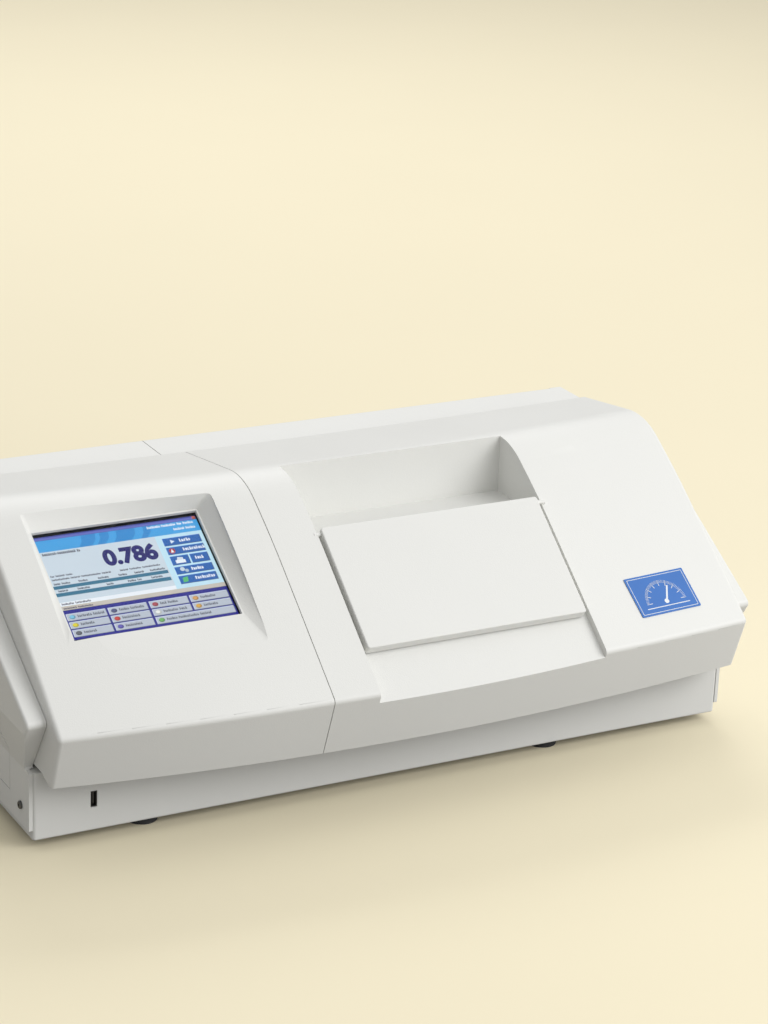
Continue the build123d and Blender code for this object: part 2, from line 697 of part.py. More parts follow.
with BuildPart() as rear_panel_screws:
    with BuildSketch(Plane.XZ.offset(-REAR_PANEL_Y)):
        with Locations(*PANEL_SCREWS):
            Circle(3.2)
    extrude(amount=-1.8)
    with BuildSketch(Plane.XZ.offset(-REAR_PANEL_Y)):
        with Locations(*PANEL_SCREWS):
            Circle(SCREW_HOLE_R - 0.7)
    extrude(amount=8)
save(rear_panel_screws, "rear_panel_screws")

# Fan: frame inside the panel, rotor with twisted blades, wire guard outside
with BuildPart() as fan_frame:
    with BuildSketch(Plane.XZ.offset(-REAR_PANEL_Y + 2)):
        with Locations((FAN_X, FAN_Z)):
            RectangleRounded(80, 80, 4)
            Circle(FAN_R, mode=Mode.SUBTRACT)
    extrude(amount=25)
    with BuildSketch(Plane.XZ.offset(-REAR_PANEL_Y + 24)):
        with Locations((FAN_X, FAN_Z)):
            Circle(18)
            Rectangle(2 * FAN_R + 2, 4)
            Rectangle(4, 2 * FAN_R + 2)
    extrude(amount=3)
    with BuildSketch(Plane.XZ.offset(-REAR_PANEL_Y + 8)):
        with Locations((FAN_X, FAN_Z)):
            Circle(3)
    extrude(amount=17)
save(fan_frame, "fan_frame")

with BuildPart() as fan_rotor:
    with BuildSketch(Plane.XZ.offset(-REAR_PANEL_Y + 4)):
        with Locations((FAN_X, FAN_Z)):
            Circle(17)
    extrude(amount=18)
    for blade in range(7):
        with Locations(Location((FAN_X, REAR_PANEL_Y - 13, FAN_Z), (0, blade * 360 / 7, 0))):
            with Locations(Location((26, 0, 0), (-35, 0, 0))):
                Box(21, 15, 1.8)
    with BuildSketch(Plane.XZ.offset(-REAR_PANEL_Y + 6)):
        with Locations((FAN_X, FAN_Z)):
            Circle(3 + RUN_FIT)
    extrude(amount=17, mode=Mode.SUBTRACT)
save(fan_rotor, "fan_rotor")

with BuildPart() as fan_guard:
    with BuildSketch(Plane.XZ.offset(-REAR_PANEL_Y)):
        with Locations((FAN_X, FAN_Z)):
            for ring_r in (10, 20, 30, 39):
                Circle(ring_r + 0.8)
                Circle(ring_r - 0.8, mode=Mode.SUBTRACT)
    extrude(amount=-3.4)
    with BuildSketch(Plane.XZ.offset(-REAR_PANEL_Y)):
        with Locations((FAN_X, FAN_Z)):
            Rectangle(78, 1.6, rotation=45)
            Rectangle(78, 1.6, rotation=-45)
            with PolarLocations(45, 4, 45):
                SlotOverall(12, 6)
    extrude(amount=-1.6)
save(fan_guard, "fan_guard")

# Power inlet with its rocker switch above the socket
SWITCH_Z = INLET_Z + 18.0
SWITCH_TILT = 8.0
SWITCH_PIVOT_Y = REAR_PANEL_Y + 0.5

with BuildPart() as power_inlet:
    add(block((INLET_X - 17, INLET_X + 17), (REAR_PANEL_Y, REAR_PANEL_Y + 3), (INLET_Z - 32, INLET_Z + 32)))
    add(block((INLET_X - 14, INLET_X + 14), (REAR_PANEL_Y - 34, REAR_PANEL_Y), (INLET_Z - 29, INLET_Z + 29)))
    with BuildSketch(Plane.XZ.offset(-REAR_PANEL_Y - 3)):
        with Locations((INLET_X, INLET_Z - 12)):
            RectangleRounded(24.5, 17, 3)
    extrude(amount=20, mode=Mode.SUBTRACT)
    with BuildSketch(Plane.XZ.offset(-REAR_PANEL_Y + 18)):
        with Locations((INLET_X, INLET_Z - 10), (INLET_X - 7, INLET_Z - 14), (INLET_X + 7, INLET_Z - 14)):
            Rectangle(2, 4)
    extrude(amount=-18)
    with BuildSketch(Plane.XZ.offset(-REAR_PANEL_Y - 3)):
        with Locations((INLET_X, SWITCH_Z)):
            Rectangle(20, 14)
    extrude(amount=14, mode=Mode.SUBTRACT)
    add(cylinder_x(INLET_X - 12, INLET_X + 12, 1.5, SWITCH_PIVOT_Y, SWITCH_Z))
save(power_inlet, "power_inlet")

with BuildPart() as power_switch:
    with BuildSketch(Plane.YZ.offset(INLET_X - 9.6)):
        with Locations(Location((SWITCH_PIVOT_Y, SWITCH_Z, 0), (0, 0, -SWITCH_TILT))):
            Polygon((-7, -4), (5.2, -5.9), (3.2, 0), (5.2, 5.9), (-7, 4), align=None)
        with Locations((SWITCH_PIVOT_Y, SWITCH_Z)):
            Circle(1.5 + RUN_FIT, mode=Mode.SUBTRACT)
    extrude(amount=19.2)
save(power_switch, "power_switch")

with BuildPart() as rear_connectors:
    for port_x, (port_w, port_h) in PORTS.items():
        low, high = port_x - port_w / 2 + 0.4, port_x + port_w / 2 - 0.4
        bottom, top = PORT_Z - port_h / 2 + 0.4, PORT_Z + port_h / 2 - 0.4
        add(block((low, high), (REAR_PANEL_Y - 20, REAR_PANEL_Y + 3), (bottom, top)))
        add(block((low, high), (REAR_PANEL_Y - 20, REAR_PANEL_Y - 3), (PORT_Z - 9, top)))
        add(block((low + 2, high - 2), (REAR_PANEL_Y - 12, REAR_PANEL_Y + 3), (bottom + 2, top - 2)), mode=Mode.SUBTRACT)
    add(block((-78, 40), (REAR_PANEL_Y - 30, REAR_PANEL_Y - 3), (PORT_Z - 11, PORT_Z - 8.6)))
    with BuildSketch(Plane.XZ.offset(-REAR_PANEL_Y)):
        with Locations((-76, PORT_Z), (-44, PORT_Z)):
            RegularPolygon(2.8, 6)
    extrude(amount=-7)
save(rear_connectors, "rear_connectors")

# Display: gasket, touch glass, panel and the bracket that holds them up to the cover
with BuildPart() as touch_glass:
    with BuildSketch(screen_plane(-1.8)):
        Rectangle(SCREEN_W + 8, SCREEN_H + 6)
    extrude(amount=1.8)
save(touch_glass, "touch_glass")

with BuildPart() as display_panel:
    with BuildSketch(screen_plane(-11)):
        Rectangle(SCREEN_W + 8, SCREEN_H + 6)
    extrude(amount=8.8)
save(display_panel, "display_panel")

with BuildPart() as display_bracket:
    with BuildSketch(screen_plane(-14)):
        Rectangle(SCREEN_W + 12, SCREEN_H + 6)
        Rectangle(SCREEN_W - 30, SCREEN_H - 30, mode=Mode.SUBTRACT)
    extrude(amount=3)
    with BuildSketch(screen_plane(-14)):
        with Locations(((SCREEN_W + 10) / 2, 0), (-(SCREEN_W + 10) / 2, 0)):
            Rectangle(1.8, SCREEN_H - 20)
    extrude(amount=14.3)
save(display_bracket, "display_bracket")

with BuildPart() as badge_plate:
    with BuildSketch(bowed_plane(262)):
        with Locations((0, 45.5)):
            RectangleRounded(66, 41, 1)
    extrude(amount=0.7)
save(badge_plate, "badge_plate")

with BuildPart() as front_usb_port:
    add(block((USB_X - 2.8, USB_X + 2.8), (BASE_FRONT_Y + 0.6, BASE_FRONT_Y + 16), (USB_Z - 7.2, USB_Z + 7.2)))
    add(
        block((USB_X - 2.2, USB_X + 2.2), (BASE_FRONT_Y, BASE_FRONT_Y + 12), (USB_Z - 6.5, USB_Z + 6.5)),
        mode=Mode.SUBTRACT,
    )
    add(block((USB_X - 0.3, USB_X + 1.4), (BASE_FRONT_Y + 3, BASE_FRONT_Y + 13), (USB_Z - 5.6, USB_Z + 5.6)))
    add(block((USB_X - 4, USB_X - 2.8), (BASE_FRONT_Y + 3, BASE_FRONT_Y + 18), (INSIDE_FLOOR_Z, USB_Z + 12)))
save(front_usb_port, "front_usb_port")

# Optical rail on rubber isolators
with BuildPart() as rail_isolators:
    with BuildSketch(Plane.XY.offset(INSIDE_FLOOR_Z)):
        with Locations(*[(x, AXIS_Y) for x in (-260, 0, 270)]):
            Circle(12)
    extrude(amount=RAIL_Z - INSIDE_FLOOR_Z)
save(rail_isolators, "rail_isolators")

with BuildPart() as optical_rail:
    with BuildSketch(Plane.YZ.offset(RAIL_X[0])):
        with Locations((AXIS_Y, RAIL_Z + RAIL_W / 2)):
            Rectangle(RAIL_W, RAIL_W)
            Rectangle(RAIL_W - 18, RAIL_W - 18, mode=Mode.SUBTRACT)
            with PolarLocations(RAIL_W / 2, 4):
                Rectangle(9, 8, mode=Mode.SUBTRACT)
    extrude(amount=RAIL_X[1] - RAIL_X[0])
save(optical_rail, "optical_rail")

# Light source
LAMP_X = -284.0

with BuildPart() as lamp_housing:
    add(block((LAMP_X - 26, LAMP_X + 26), (AXIS_Y - 18, AXIS_Y + 30), (RAIL_TOP, RAIL_TOP + 78)))
    add(block((LAMP_X - 26, LAMP_X - 10), (AXIS_Y - 8, AXIS_Y + 18), (INSIDE_FLOOR_Z, RAIL_TOP)))
    add(block((LAMP_X - 23, LAMP_X + 23), (AXIS_Y - 15, AXIS_Y + 27), (RAIL_TOP + 3, RAIL_TOP + 90)), mode=Mode.SUBTRACT)
    add(cylinder_x(LAMP_X, LAMP_X + 40, 11), mode=Mode.SUBTRACT)
    add(cylinder_x(LAMP_X - 40, LAMP_X, 16), mode=Mode.SUBTRACT)
save(lamp_housing, "lamp_housing")

with BuildPart() as lamp_socket:
    with BuildSketch(Plane.XY.offset(RAIL_TOP + 3)):
        with Locations((LAMP_X, AXIS_Y)):
            Rectangle(20, 14)
            Circle(1.0, mode=Mode.SUBTRACT)
    extrude(amount=26)
save(lamp_socket, "lamp_socket")

with BuildPart() as lamp_bulb:
    with BuildSketch(Plane.XY.offset(RAIL_TOP + 29)):
        with Locations((LAMP_X, AXIS_Y)):
            Circle(5.5)
    extrude(amount=34)
    chamfer(lamp_bulb.faces().sort_by(Axis.Z)[-1].edges(), 3)
save(lamp_bulb, "lamp_bulb")


def post(x_mid, width, top_z):
    """A saddle post from the rail up to a round mount."""
    return block((x_mid - width / 2, x_mid + width / 2), (AXIS_Y - 14, AXIS_Y + 14), (RAIL_TOP, top_z))


with BuildPart() as lens_barrel:
    add(cylinder_x(-252, -214, 17))
    add(post(-233, 20, AXIS_Z - 12))
    add(cylinder_x(-252, -214, 13.5), mode=Mode.SUBTRACT)
save(lens_barrel, "lens_barrel")

with BuildPart() as condenser_lens:
    with BuildSketch(Plane.YZ.offset(-240)):
        with Locations((AXIS_Y, AXIS_Z)):
            Circle(13.5)
    extrude(amount=7)
    chamfer(condenser_lens.faces().sort_by(Axis.X)[-1].edges(), 2.5)
save(condenser_lens, "condenser_lens")

# Filter wheel: six interference filters that a stepper motor turns through the beam
WHEEL_R = 42.0
FILTER_R = 9.0
FILTER_PITCH_R = 29.0
WHEEL_Y = AXIS_Y + FILTER_PITCH_R
WHEEL_X = (-206.0, -201.0)
MOTOR_SHAFT_R = 2.5

with BuildPart() as filter_wheel:
    with BuildSketch(Plane.YZ.offset(WHEEL_X[0])):
        with Locations((WHEEL_Y, AXIS_Z)):
            Circle(WHEEL_R)
            Circle(MOTOR_SHAFT_R, mode=Mode.SUBTRACT)
            with PolarLocations(FILTER_PITCH_R, 6):
                Circle(FILTER_R, mode=Mode.SUBTRACT)
    extrude(amount=WHEEL_X[1] - WHEEL_X[0])
    with BuildSketch(Plane.YZ.offset(WHEEL_X[1])):
        with Locations((WHEEL_Y, AXIS_Z)):
            Circle(8)
            Circle(MOTOR_SHAFT_R, mode=Mode.SUBTRACT)
    extrude(amount=6)
save(filter_wheel, "filter_wheel")

with BuildPart() as interference_filters:
    with BuildSketch(Plane.YZ.offset(WHEEL_X[0] + 1)):
        with Locations((WHEEL_Y, AXIS_Z)):
            with PolarLocations(FILTER_PITCH_R, 6):
                Circle(FILTER_R)
    extrude(amount=3)
save(interference_filters, "interference_filters")

with BuildPart() as filter_motor_shaft:
    add(cylinder_x(WHEEL_X[0], -186, MOTOR_SHAFT_R, WHEEL_Y))
save(filter_motor_shaft, "filter_motor_shaft")

with BuildPart() as filter_motor:
    with BuildSketch(Plane.YZ.offset(-188)):
        with Locations((WHEEL_Y, AXIS_Z)):
            RectangleRounded(35, 35, 3)
    extrude(amount=26)
    add(cylinder_x(-189, -184, MOTOR_SHAFT_R + RUN_FIT, WHEEL_Y), mode=Mode.SUBTRACT)
save(filter_motor, "filter_motor")

with BuildPart() as filter_motor_bracket:
    add(block((-191, -188), (WHEEL_Y - 16, WHEEL_Y + 20), (INSIDE_FLOOR_Z, AXIS_Z + 18)))
    add(block((-188, -160), (AXIS_Y + RAIL_W / 2 + 1, WHEEL_Y + 20), (INSIDE_FLOOR_Z, INSIDE_FLOOR_Z + 3)))
    add(block((-200, -180), (-200, AXIS_Y + RAIL_W / 2 + 1), (0, RAIL_TOP + 1)), mode=Mode.SUBTRACT)
    add(cylinder_x(-195, -180, 9, WHEEL_Y), mode=Mode.SUBTRACT)
save(filter_motor_bracket, "filter_motor_bracket")

# Polarizer and Faraday modulator
with BuildPart() as polarizer_mount:
    add(cylinder_x(-150, -122, 18))
    add(post(-136, 20, AXIS_Z - 12))
    add(block((-151, -121), (AXIS_Y - 6, AXIS_Y + 6), (AXIS_Z - 6, AXIS_Z + 6)), mode=Mode.SUBTRACT)
save(polarizer_mount, "polarizer_mount")

with BuildPart() as polarizer_prism:
    add(block((-148, -126), (AXIS_Y - 6, AXIS_Y + 6), (AXIS_Z - 6, AXIS_Z + 6)))
save(polarizer_prism, "polarizer_prism")

with BuildPart() as modulator_bobbin:
    for flange_x in (-112, -60):
        add(cylinder_x(flange_x, flange_x + 3, 24, bore=7))
    add(cylinder_x(-112, -57, 10, bore=7))
    add(block((-109, -60), (AXIS_Y - 14, AXIS_Y + 14), (RAIL_TOP, AXIS_Z - 23)))
    add(block((-112, -109), (AXIS_Y - 14, AXIS_Y + 14), (RAIL_TOP, AXIS_Z - 15)))
    add(block((-60, -57), (AXIS_Y - 14, AXIS_Y + 14), (RAIL_TOP, AXIS_Z - 15)))
save(modulator_bobbin, "modulator_bobbin")

with BuildPart() as modulator_coil:
    add(cylinder_x(-109, -60, 22, bore=10))
save(modulator_coil, "modulator_coil")

# Sample chamber: the tub under the hood's mouth, its windows and the trough for the tubes
def under_hood(y):
    """Height of the recess moulding's underside at y."""
    return RIDGE_Z + (y - RIDGE_Y) * tan(radians(SLOPE)) - (RECESS_DEPTH + WALL + 0.3) / cos(radians(SLOPE))


def tub_outline(y_low, y_high, z_low, lift):
    """Side view of a box whose top follows the slope."""
    return [(y_low, z_low), (y_high, z_low), (y_high, under_hood(y_high) + lift), (y_low, under_hood(y_low) + lift)]


TUB_T = 2.0
WINDOW_R = 11.0

with BuildPart() as chamber_tub:
    add(prism((MOUTH_X[0] - TUB_T, MOUTH_X[1] + TUB_T), tub_outline(*TUB_Y, TUB_FLOOR_Z, 0)))
    inner_y = (TUB_Y[0] + TUB_T, TUB_Y[1] - TUB_T)
    add(prism(MOUTH_X, tub_outline(*inner_y, TUB_FLOOR_Z + TUB_T, 10)), mode=Mode.SUBTRACT)
    add(cylinder_x(MOUTH_X[0] - 10, MOUTH_X[1] + 10, WINDOW_R - 2), mode=Mode.SUBTRACT)
    for end_x in (MOUTH_X[0] - TUB_T - 3, MOUTH_X[1] + TUB_T):
        add(cylinder_x(end_x, end_x + 3, WINDOW_R + 3, bore=WINDOW_R))
    for leg_x in (MOUTH_X[0] + 12, MOUTH_X[1] - 12):
        add(post(leg_x, 16, TUB_FLOOR_Z))
save(chamber_tub, "chamber_tub")

with BuildPart() as chamber_windows:
    add(cylinder_x(MOUTH_X[0] - TUB_T - 3, MOUTH_X[0] - TUB_T, WINDOW_R))
    add(cylinder_x(MOUTH_X[1] + TUB_T, MOUTH_X[1] + TUB_T + 3, WINDOW_R))
save(chamber_windows, "chamber_windows")

TUBE_R = 13.0
TROUGH_TOP = AXIS_Z - 4.0

with BuildPart() as sample_trough:
    half_mouth = TROUGH_TOP - (AXIS_Z - TUBE_R * 2**0.5)
    low_z = TUB_FLOOR_Z + TUB_T
    add(
        prism(
            (MOUTH_X[0] + 3, MOUTH_X[1] - 3),
            [
                (AXIS_Y - 22, low_z),
                (AXIS_Y + 22, low_z),
                (AXIS_Y + 20, TROUGH_TOP),
                (AXIS_Y + half_mouth, TROUGH_TOP),
                (AXIS_Y, TROUGH_TOP - half_mouth),
                (AXIS_Y - half_mouth, TROUGH_TOP),
                (AXIS_Y - 20, TROUGH_TOP),
            ],
        )
    )
save(sample_trough, "sample_trough")

# Analyzer: a hollow shaft in two bearings, turned through a gear and pinion by the servo motor
GEAR_TEETH = 72
PINION_TEETH = 12
GEAR_R = 36.0
PINION_R = 6.0
MODULE = 1.0
PINION_Y = AXIS_Y + GEAR_R + PINION_R
SHAFT_R = 13.0
GEAR_X = (216.0, 222.0)


def gear(x_low, x_high, teeth, pitch_r, centre_y, phase, bore):
    """A spur gear: a root cylinder and one trapezoid tooth repeated round it."""
    pitch = 2 * pi * pitch_r / teeth
    root, tip = pitch_r - 1.2 * MODULE, pitch_r + 0.85 * MODULE
    half_tooth = [(root - 0.3, 0.31 * pitch), (pitch_r, 0.22 * pitch), (tip, 0.11 * pitch)]
    with BuildPart() as wheel:
        with BuildSketch(Plane.YZ.offset(x_low)):
            with Locations((centre_y, AXIS_Z)):
                Circle(root)
            for tooth in range(teeth):
                with Locations(Location((centre_y, AXIS_Z), phase + tooth * 360 / teeth)):
                    Polygon(*[(r, -w) for r, w in half_tooth], *reversed(half_tooth), align=None)
            with Locations((centre_y, AXIS_Z)):
                Circle(bore, mode=Mode.SUBTRACT)
        extrude(amount=x_high - x_low)
    return wheel.part


with BuildPart() as analyzer_gear:
    add(gear(*GEAR_X, GEAR_TEETH, GEAR_R, AXIS_Y, 0, SHAFT_R))
save(analyzer_gear, "analyzer_gear")

with BuildPart() as drive_pinion:
    add(gear(GEAR_X[0] - 1, GEAR_X[1] + 1, PINION_TEETH, PINION_R, PINION_Y, 180 + 180 / PINION_TEETH, 1))
    add(cylinder_x(GEAR_X[0] - 3, GEAR_X[0] - 1, 4, PINION_Y))
    add(cylinder_x(155, GEAR_X[1] + 1, 1.5, PINION_Y))
save(drive_pinion, "drive_pinion")

with BuildPart() as analyzer_shaft:
    add(cylinder_x(180, 246, SHAFT_R))
    add(cylinder_x(180, 190, 9), mode=Mode.SUBTRACT)
    add(cylinder_x(208, 246, 9), mode=Mode.SUBTRACT)
    add(block((190, 208), (AXIS_Y - 6, AXIS_Y + 6), (AXIS_Z - 6, AXIS_Z + 6)), mode=Mode.SUBTRACT)
    add(cylinder_x(GEAR_X[1], GEAR_X[1] + 3, SHAFT_R + 3, bore=SHAFT_R))
save(analyzer_shaft, "analyzer_shaft")

with BuildPart() as analyzer_prism:
    add(block((190, 208), (AXIS_Y - 6, AXIS_Y + 6), (AXIS_Z - 6, AXIS_Z + 6)))
save(analyzer_prism, "analyzer_prism")

BEARING_R = 19.0

with BuildPart() as analyzer_bearings:
    for bearing_x in (184, 203):
        add(cylinder_x(bearing_x, bearing_x + 7, BEARING_R, bore=SHAFT_R + RUN_FIT))
save(analyzer_bearings, "analyzer_bearings")

with BuildPart() as analyzer_housing:
    add(block((182, 212), (AXIS_Y - 22, AXIS_Y + 52), (RAIL_TOP, AXIS_Z + 22)))
    add(block((180, 214), (AXIS_Y + 20, AXIS_Y + 60), (RAIL_TOP - 1, AXIS_Z - 22)), mode=Mode.SUBTRACT)
    add(cylinder_x(184, 210, BEARING_R), mode=Mode.SUBTRACT)
    add(cylinder_x(180, 214, BEARING_R - 2), mode=Mode.SUBTRACT)
    add(cylinder_x(180, 214, 2.5, PINION_Y), mode=Mode.SUBTRACT)
save(analyzer_housing, "analyzer_housing")

with BuildPart() as servo_motor:
    add(cylinder_x(150, 182, 9.5, PINION_Y))
    add(cylinder_x(182, 184, 2.4, PINION_Y))
    add(cylinder_x(150, 190, 1.5 + RUN_FIT, PINION_Y), mode=Mode.SUBTRACT)
save(servo_motor, "servo_motor")

with BuildPart() as encoder_disc:
    add(cylinder_x(236, 238, 27, bore=SHAFT_R))
save(encoder_disc, "encoder_disc")

with BuildPart() as encoder_head:
    add(block((230, 244), (AXIS_Y - 7, AXIS_Y + 7), (RAIL_TOP, AXIS_Z - 17)))
    add(block((234.5, 239.5), (AXIS_Y - 8, AXIS_Y + 8), (AXIS_Z - 29, AXIS_Z - 10)), mode=Mode.SUBTRACT)
save(encoder_head, "encoder_head")

# Detector: a photomultiplier tube in a light-tight housing
with BuildPart() as detector_housing:
    add(cylinder_x(250, 316, 19))
    add(post(283, 40, AXIS_Z - 12))
    add(cylinder_x(253, 320, 16), mode=Mode.SUBTRACT)
    add(cylinder_x(249, 254, 8), mode=Mode.SUBTRACT)
save(detector_housing, "detector_housing")

with BuildPart() as detector_tube:
    add(cylinder_x(254, 302, 14))
    chamfer(detector_tube.edges().filter_by(GeomType.CIRCLE), 2)
    add(cylinder_x(302, 314, 16))
save(detector_tube, "detector_tube")

# Electronics on the tray behind the rail
with BuildPart() as main_board:
    with BuildSketch(Plane.XY.offset(INSIDE_FLOOR_Z + 8)):
        with Locations((-40, 60)):
            Rectangle(200, 150)
    extrude(amount=1.6)
    board_top = INSIDE_FLOOR_Z + 9.6
    add(block((-80, -45), (40, 75), (board_top, board_top + 4)))
    add(block((-20, 4), (20, 44), (board_top, board_top + 3)))
    add(block((20, 50), (60, 78), (board_top, board_top + 9)))
    add(block((-130, -70), (110, 118), (board_top, board_top + 10)))
save(main_board, "main_board")

with BuildPart() as power_supply:
    add(block((110, 300), (-30, 90), (INSIDE_FLOOR_Z, INSIDE_FLOOR_Z + 48)))
    with BuildSketch(Plane.XY.offset(INSIDE_FLOOR_Z + 47)):
        with Locations((205, 30)):
            with GridLocations(12, 24, 12, 3):
                Rectangle(4, 18)
    extrude(amount=3, mode=Mode.SUBTRACT)
save(power_supply, "power_supply")
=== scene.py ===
"""Looks for a bench polarimeter: studio, camera, finishes and the small parts that the frame leaves out."""
import json
from math import asin, cos, pi, radians, sin

import bmesh
import bpy
from mathutils import Matrix, Vector


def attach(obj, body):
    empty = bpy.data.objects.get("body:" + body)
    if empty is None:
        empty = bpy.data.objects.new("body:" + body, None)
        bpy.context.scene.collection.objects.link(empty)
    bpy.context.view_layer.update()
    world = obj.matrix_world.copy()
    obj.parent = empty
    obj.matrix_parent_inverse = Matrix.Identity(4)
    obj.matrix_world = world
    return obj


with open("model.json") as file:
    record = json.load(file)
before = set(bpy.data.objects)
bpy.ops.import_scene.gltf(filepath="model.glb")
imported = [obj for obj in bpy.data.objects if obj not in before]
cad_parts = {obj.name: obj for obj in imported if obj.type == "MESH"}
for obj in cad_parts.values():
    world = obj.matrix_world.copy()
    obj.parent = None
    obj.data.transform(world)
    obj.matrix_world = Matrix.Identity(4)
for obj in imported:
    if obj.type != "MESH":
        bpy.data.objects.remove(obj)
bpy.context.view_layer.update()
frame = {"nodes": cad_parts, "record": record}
MM = 0.001


# Camera and lamps

VIEW_AZIMUTH = radians(-28.712)
VIEW_ELEVATION = radians(20.225)
VIEW_ROLL = radians(2.436)
VIEW_PLACE = (-1.150, -2.1935, 1.124)
LENS = 103.4
SENSOR = 36.0


def make_camera():
    """The camera stands where the photograph was taken from."""
    a, e, r = VIEW_AZIMUTH, VIEW_ELEVATION, VIEW_ROLL
    forward = Vector((-sin(a) * cos(e), cos(a) * cos(e), -sin(e)))
    level = Vector((cos(a), sin(a), 0))
    up = level.cross(forward)
    right = level * cos(r) + up * sin(r)
    up = up * cos(r) - level * sin(r)
    data = bpy.data.cameras.new("camera")
    data.lens = LENS
    data.sensor_width = SENSOR
    data.clip_start = 0.05
    camera = bpy.data.objects.new("camera", data)
    bpy.context.collection.objects.link(camera)
    turn = Matrix((right, up, -forward)).transposed().to_4x4()
    camera.matrix_world = Matrix.Translation(VIEW_PLACE) @ turn
    bpy.context.scene.camera = camera


def aim(thing, place, target):
    """Puts a thing at place with its -Z axis towards target."""
    thing.location = place
    thing.rotation_euler = (Vector(target) - Vector(place)).to_track_quat("-Z", "Y").to_euler()


def softbox(name, place, target, width, height, power):
    """One large rectangular area lamp."""
    data = bpy.data.lights.new(name, "AREA")
    data.shape = "RECTANGLE"
    data.size = width
    data.size_y = height
    data.energy = power
    lamp = bpy.data.objects.new(name, data)
    bpy.context.collection.objects.link(lamp)
    aim(lamp, place, target)


# Shader helpers

class Value:
    """A shader value; Python's operators add Math nodes to its tree."""

    def __init__(self, nodes, socket):
        self.nodes = nodes
        self.socket = socket

    def math(self, operation, first, second):
        return self.nodes.node("ShaderNodeMath", {"operation": operation}, {0: first, 1: second})

    def __add__(self, other):
        return self.math("ADD", self, other)

    def __sub__(self, other):
        return self.math("SUBTRACT", self, other)

    def __rsub__(self, other):
        return self.math("SUBTRACT", other, self)

    def __mul__(self, other):
        return self.math("MULTIPLY", self, other)

    __radd__ = __add__
    __rmul__ = __mul__


class Nodes:
    """A node tree being built."""

    def __init__(self, tree):
        self.tree = tree

    def node(self, kind, settings=None, inputs=None, output=0):
        """Adds a node: its settings first, then its sockets' values or links."""
        made = self.tree.nodes.new(kind)
        for key, value in (settings or {}).items():
            if key == "stops":
                for stop, (place, colour) in zip(made.color_ramp.elements, value):
                    stop.position = place
                    stop.color = (*colour, 1)
            else:
                setattr(made, key, value)
        for key, value in (inputs or {}).items():
            self.feed(made.inputs[key], value)
        return Value(self, made.outputs[output])

    def feed(self, socket, value):
        if isinstance(value, Value):
            self.tree.links.new(value.socket, socket)
        else:
            socket.default_value = value


class Shader(Nodes):
    """A material being built: its tree, its surface shader and its object coordinates."""

    def __init__(self, name, **surface):
        self.material = bpy.data.materials.new(name)
        self.material.use_nodes = True
        super().__init__(self.material.node_tree)
        self.surface = self.tree.nodes["Principled BSDF"]
        self.set(**surface)

    def set(self, **values):
        """Sets or links the surface shader's own sockets."""
        for socket, value in values.items():
            self.feed(self.surface.inputs[socket.replace("_", " ")], value)

    def place(self):
        return self.node("ShaderNodeTexCoord", output="Object")

    def stretched(self, scale):
        """Object coordinates, multiplied along each axis."""
        return self.node("ShaderNodeMapping", {}, {"Vector": self.place(), "Scale": scale})

    def noise(self, scale, detail=2.0, where=None):
        inputs = {"Vector": where or self.place(), "Scale": scale, "Detail": detail}
        return self.node("ShaderNodeTexNoise", {}, inputs)

    def mix(self, factor, first, second):
        """A colour between two colours."""
        colours = [c if isinstance(c, Value) else (*c, 1) for c in (first, second)]
        settings = {"data_type": "RGBA"}
        return self.node("ShaderNodeMix", settings, {0: factor, 6: colours[0], 7: colours[1]}, output=2)

    def multiplied(self, colour, factor):
        """A colour times a constant one."""
        settings = {"data_type": "RGBA", "blend_type": "MULTIPLY"}
        return self.node("ShaderNodeMix", settings, {0: 1.0, 6: colour, 7: (*factor, 1)}, output=2)

    def bump(self, height, distance):
        self.set(Normal=self.node("ShaderNodeBump", {}, {"Height": height, "Distance": distance}))


def tone(colour, factor):
    """A colour made lighter or darker."""
    return tuple(min(1.0, c * factor) for c in colour)


# Finishes

def moulded_paint(name, colour, grain, relief, roughness):
    """Paint with a fine, slightly pebbled texture, a faint drift in its shade and soft rub marks."""
    shader = Shader(name, Specular_IOR_Level=0.45)
    pebble = shader.noise(grain, 3.0)
    drift = shader.noise(9.0, 2.0)
    shade = (drift - 0.5) * 0.5 + (pebble - 0.5) * 0.35 + 0.5
    shader.set(Base_Color=shader.mix(shade, tone(colour, 0.965), tone(colour, 1.03)))
    shader.set(Roughness=(drift - 0.5) * 0.12 + (pebble - 0.5) * 0.10 + roughness)
    shader.bump(pebble, relief)
    return shader.material


def rubber(name, colour):
    """Matt rubber with dust in it."""
    shader = Shader(name, Specular_IOR_Level=0.3)
    speck = shader.noise(900, 3.0)
    dust = shader.noise(60, 3.0)
    shader.set(Base_Color=shader.mix(dust, tone(colour, 0.8), tone(colour, 1.7)))
    shader.set(Roughness=(speck - 0.5) * 0.2 + 0.78)
    shader.bump(speck, 0.00015)
    return shader.material


def grained_plastic(name, colour, roughness=0.5):
    """Moulded plastic with a fine grain and wiped patches."""
    shader = Shader(name)
    grain = shader.noise(1500, 2.0)
    wipe = shader.noise(25, 4.0)
    shader.set(Base_Color=shader.mix(wipe, tone(colour, 0.9), tone(colour, 1.15)))
    shader.set(Roughness=(wipe - 0.5) * 0.2 + roughness)
    shader.bump(grain, 0.00006)
    return shader.material


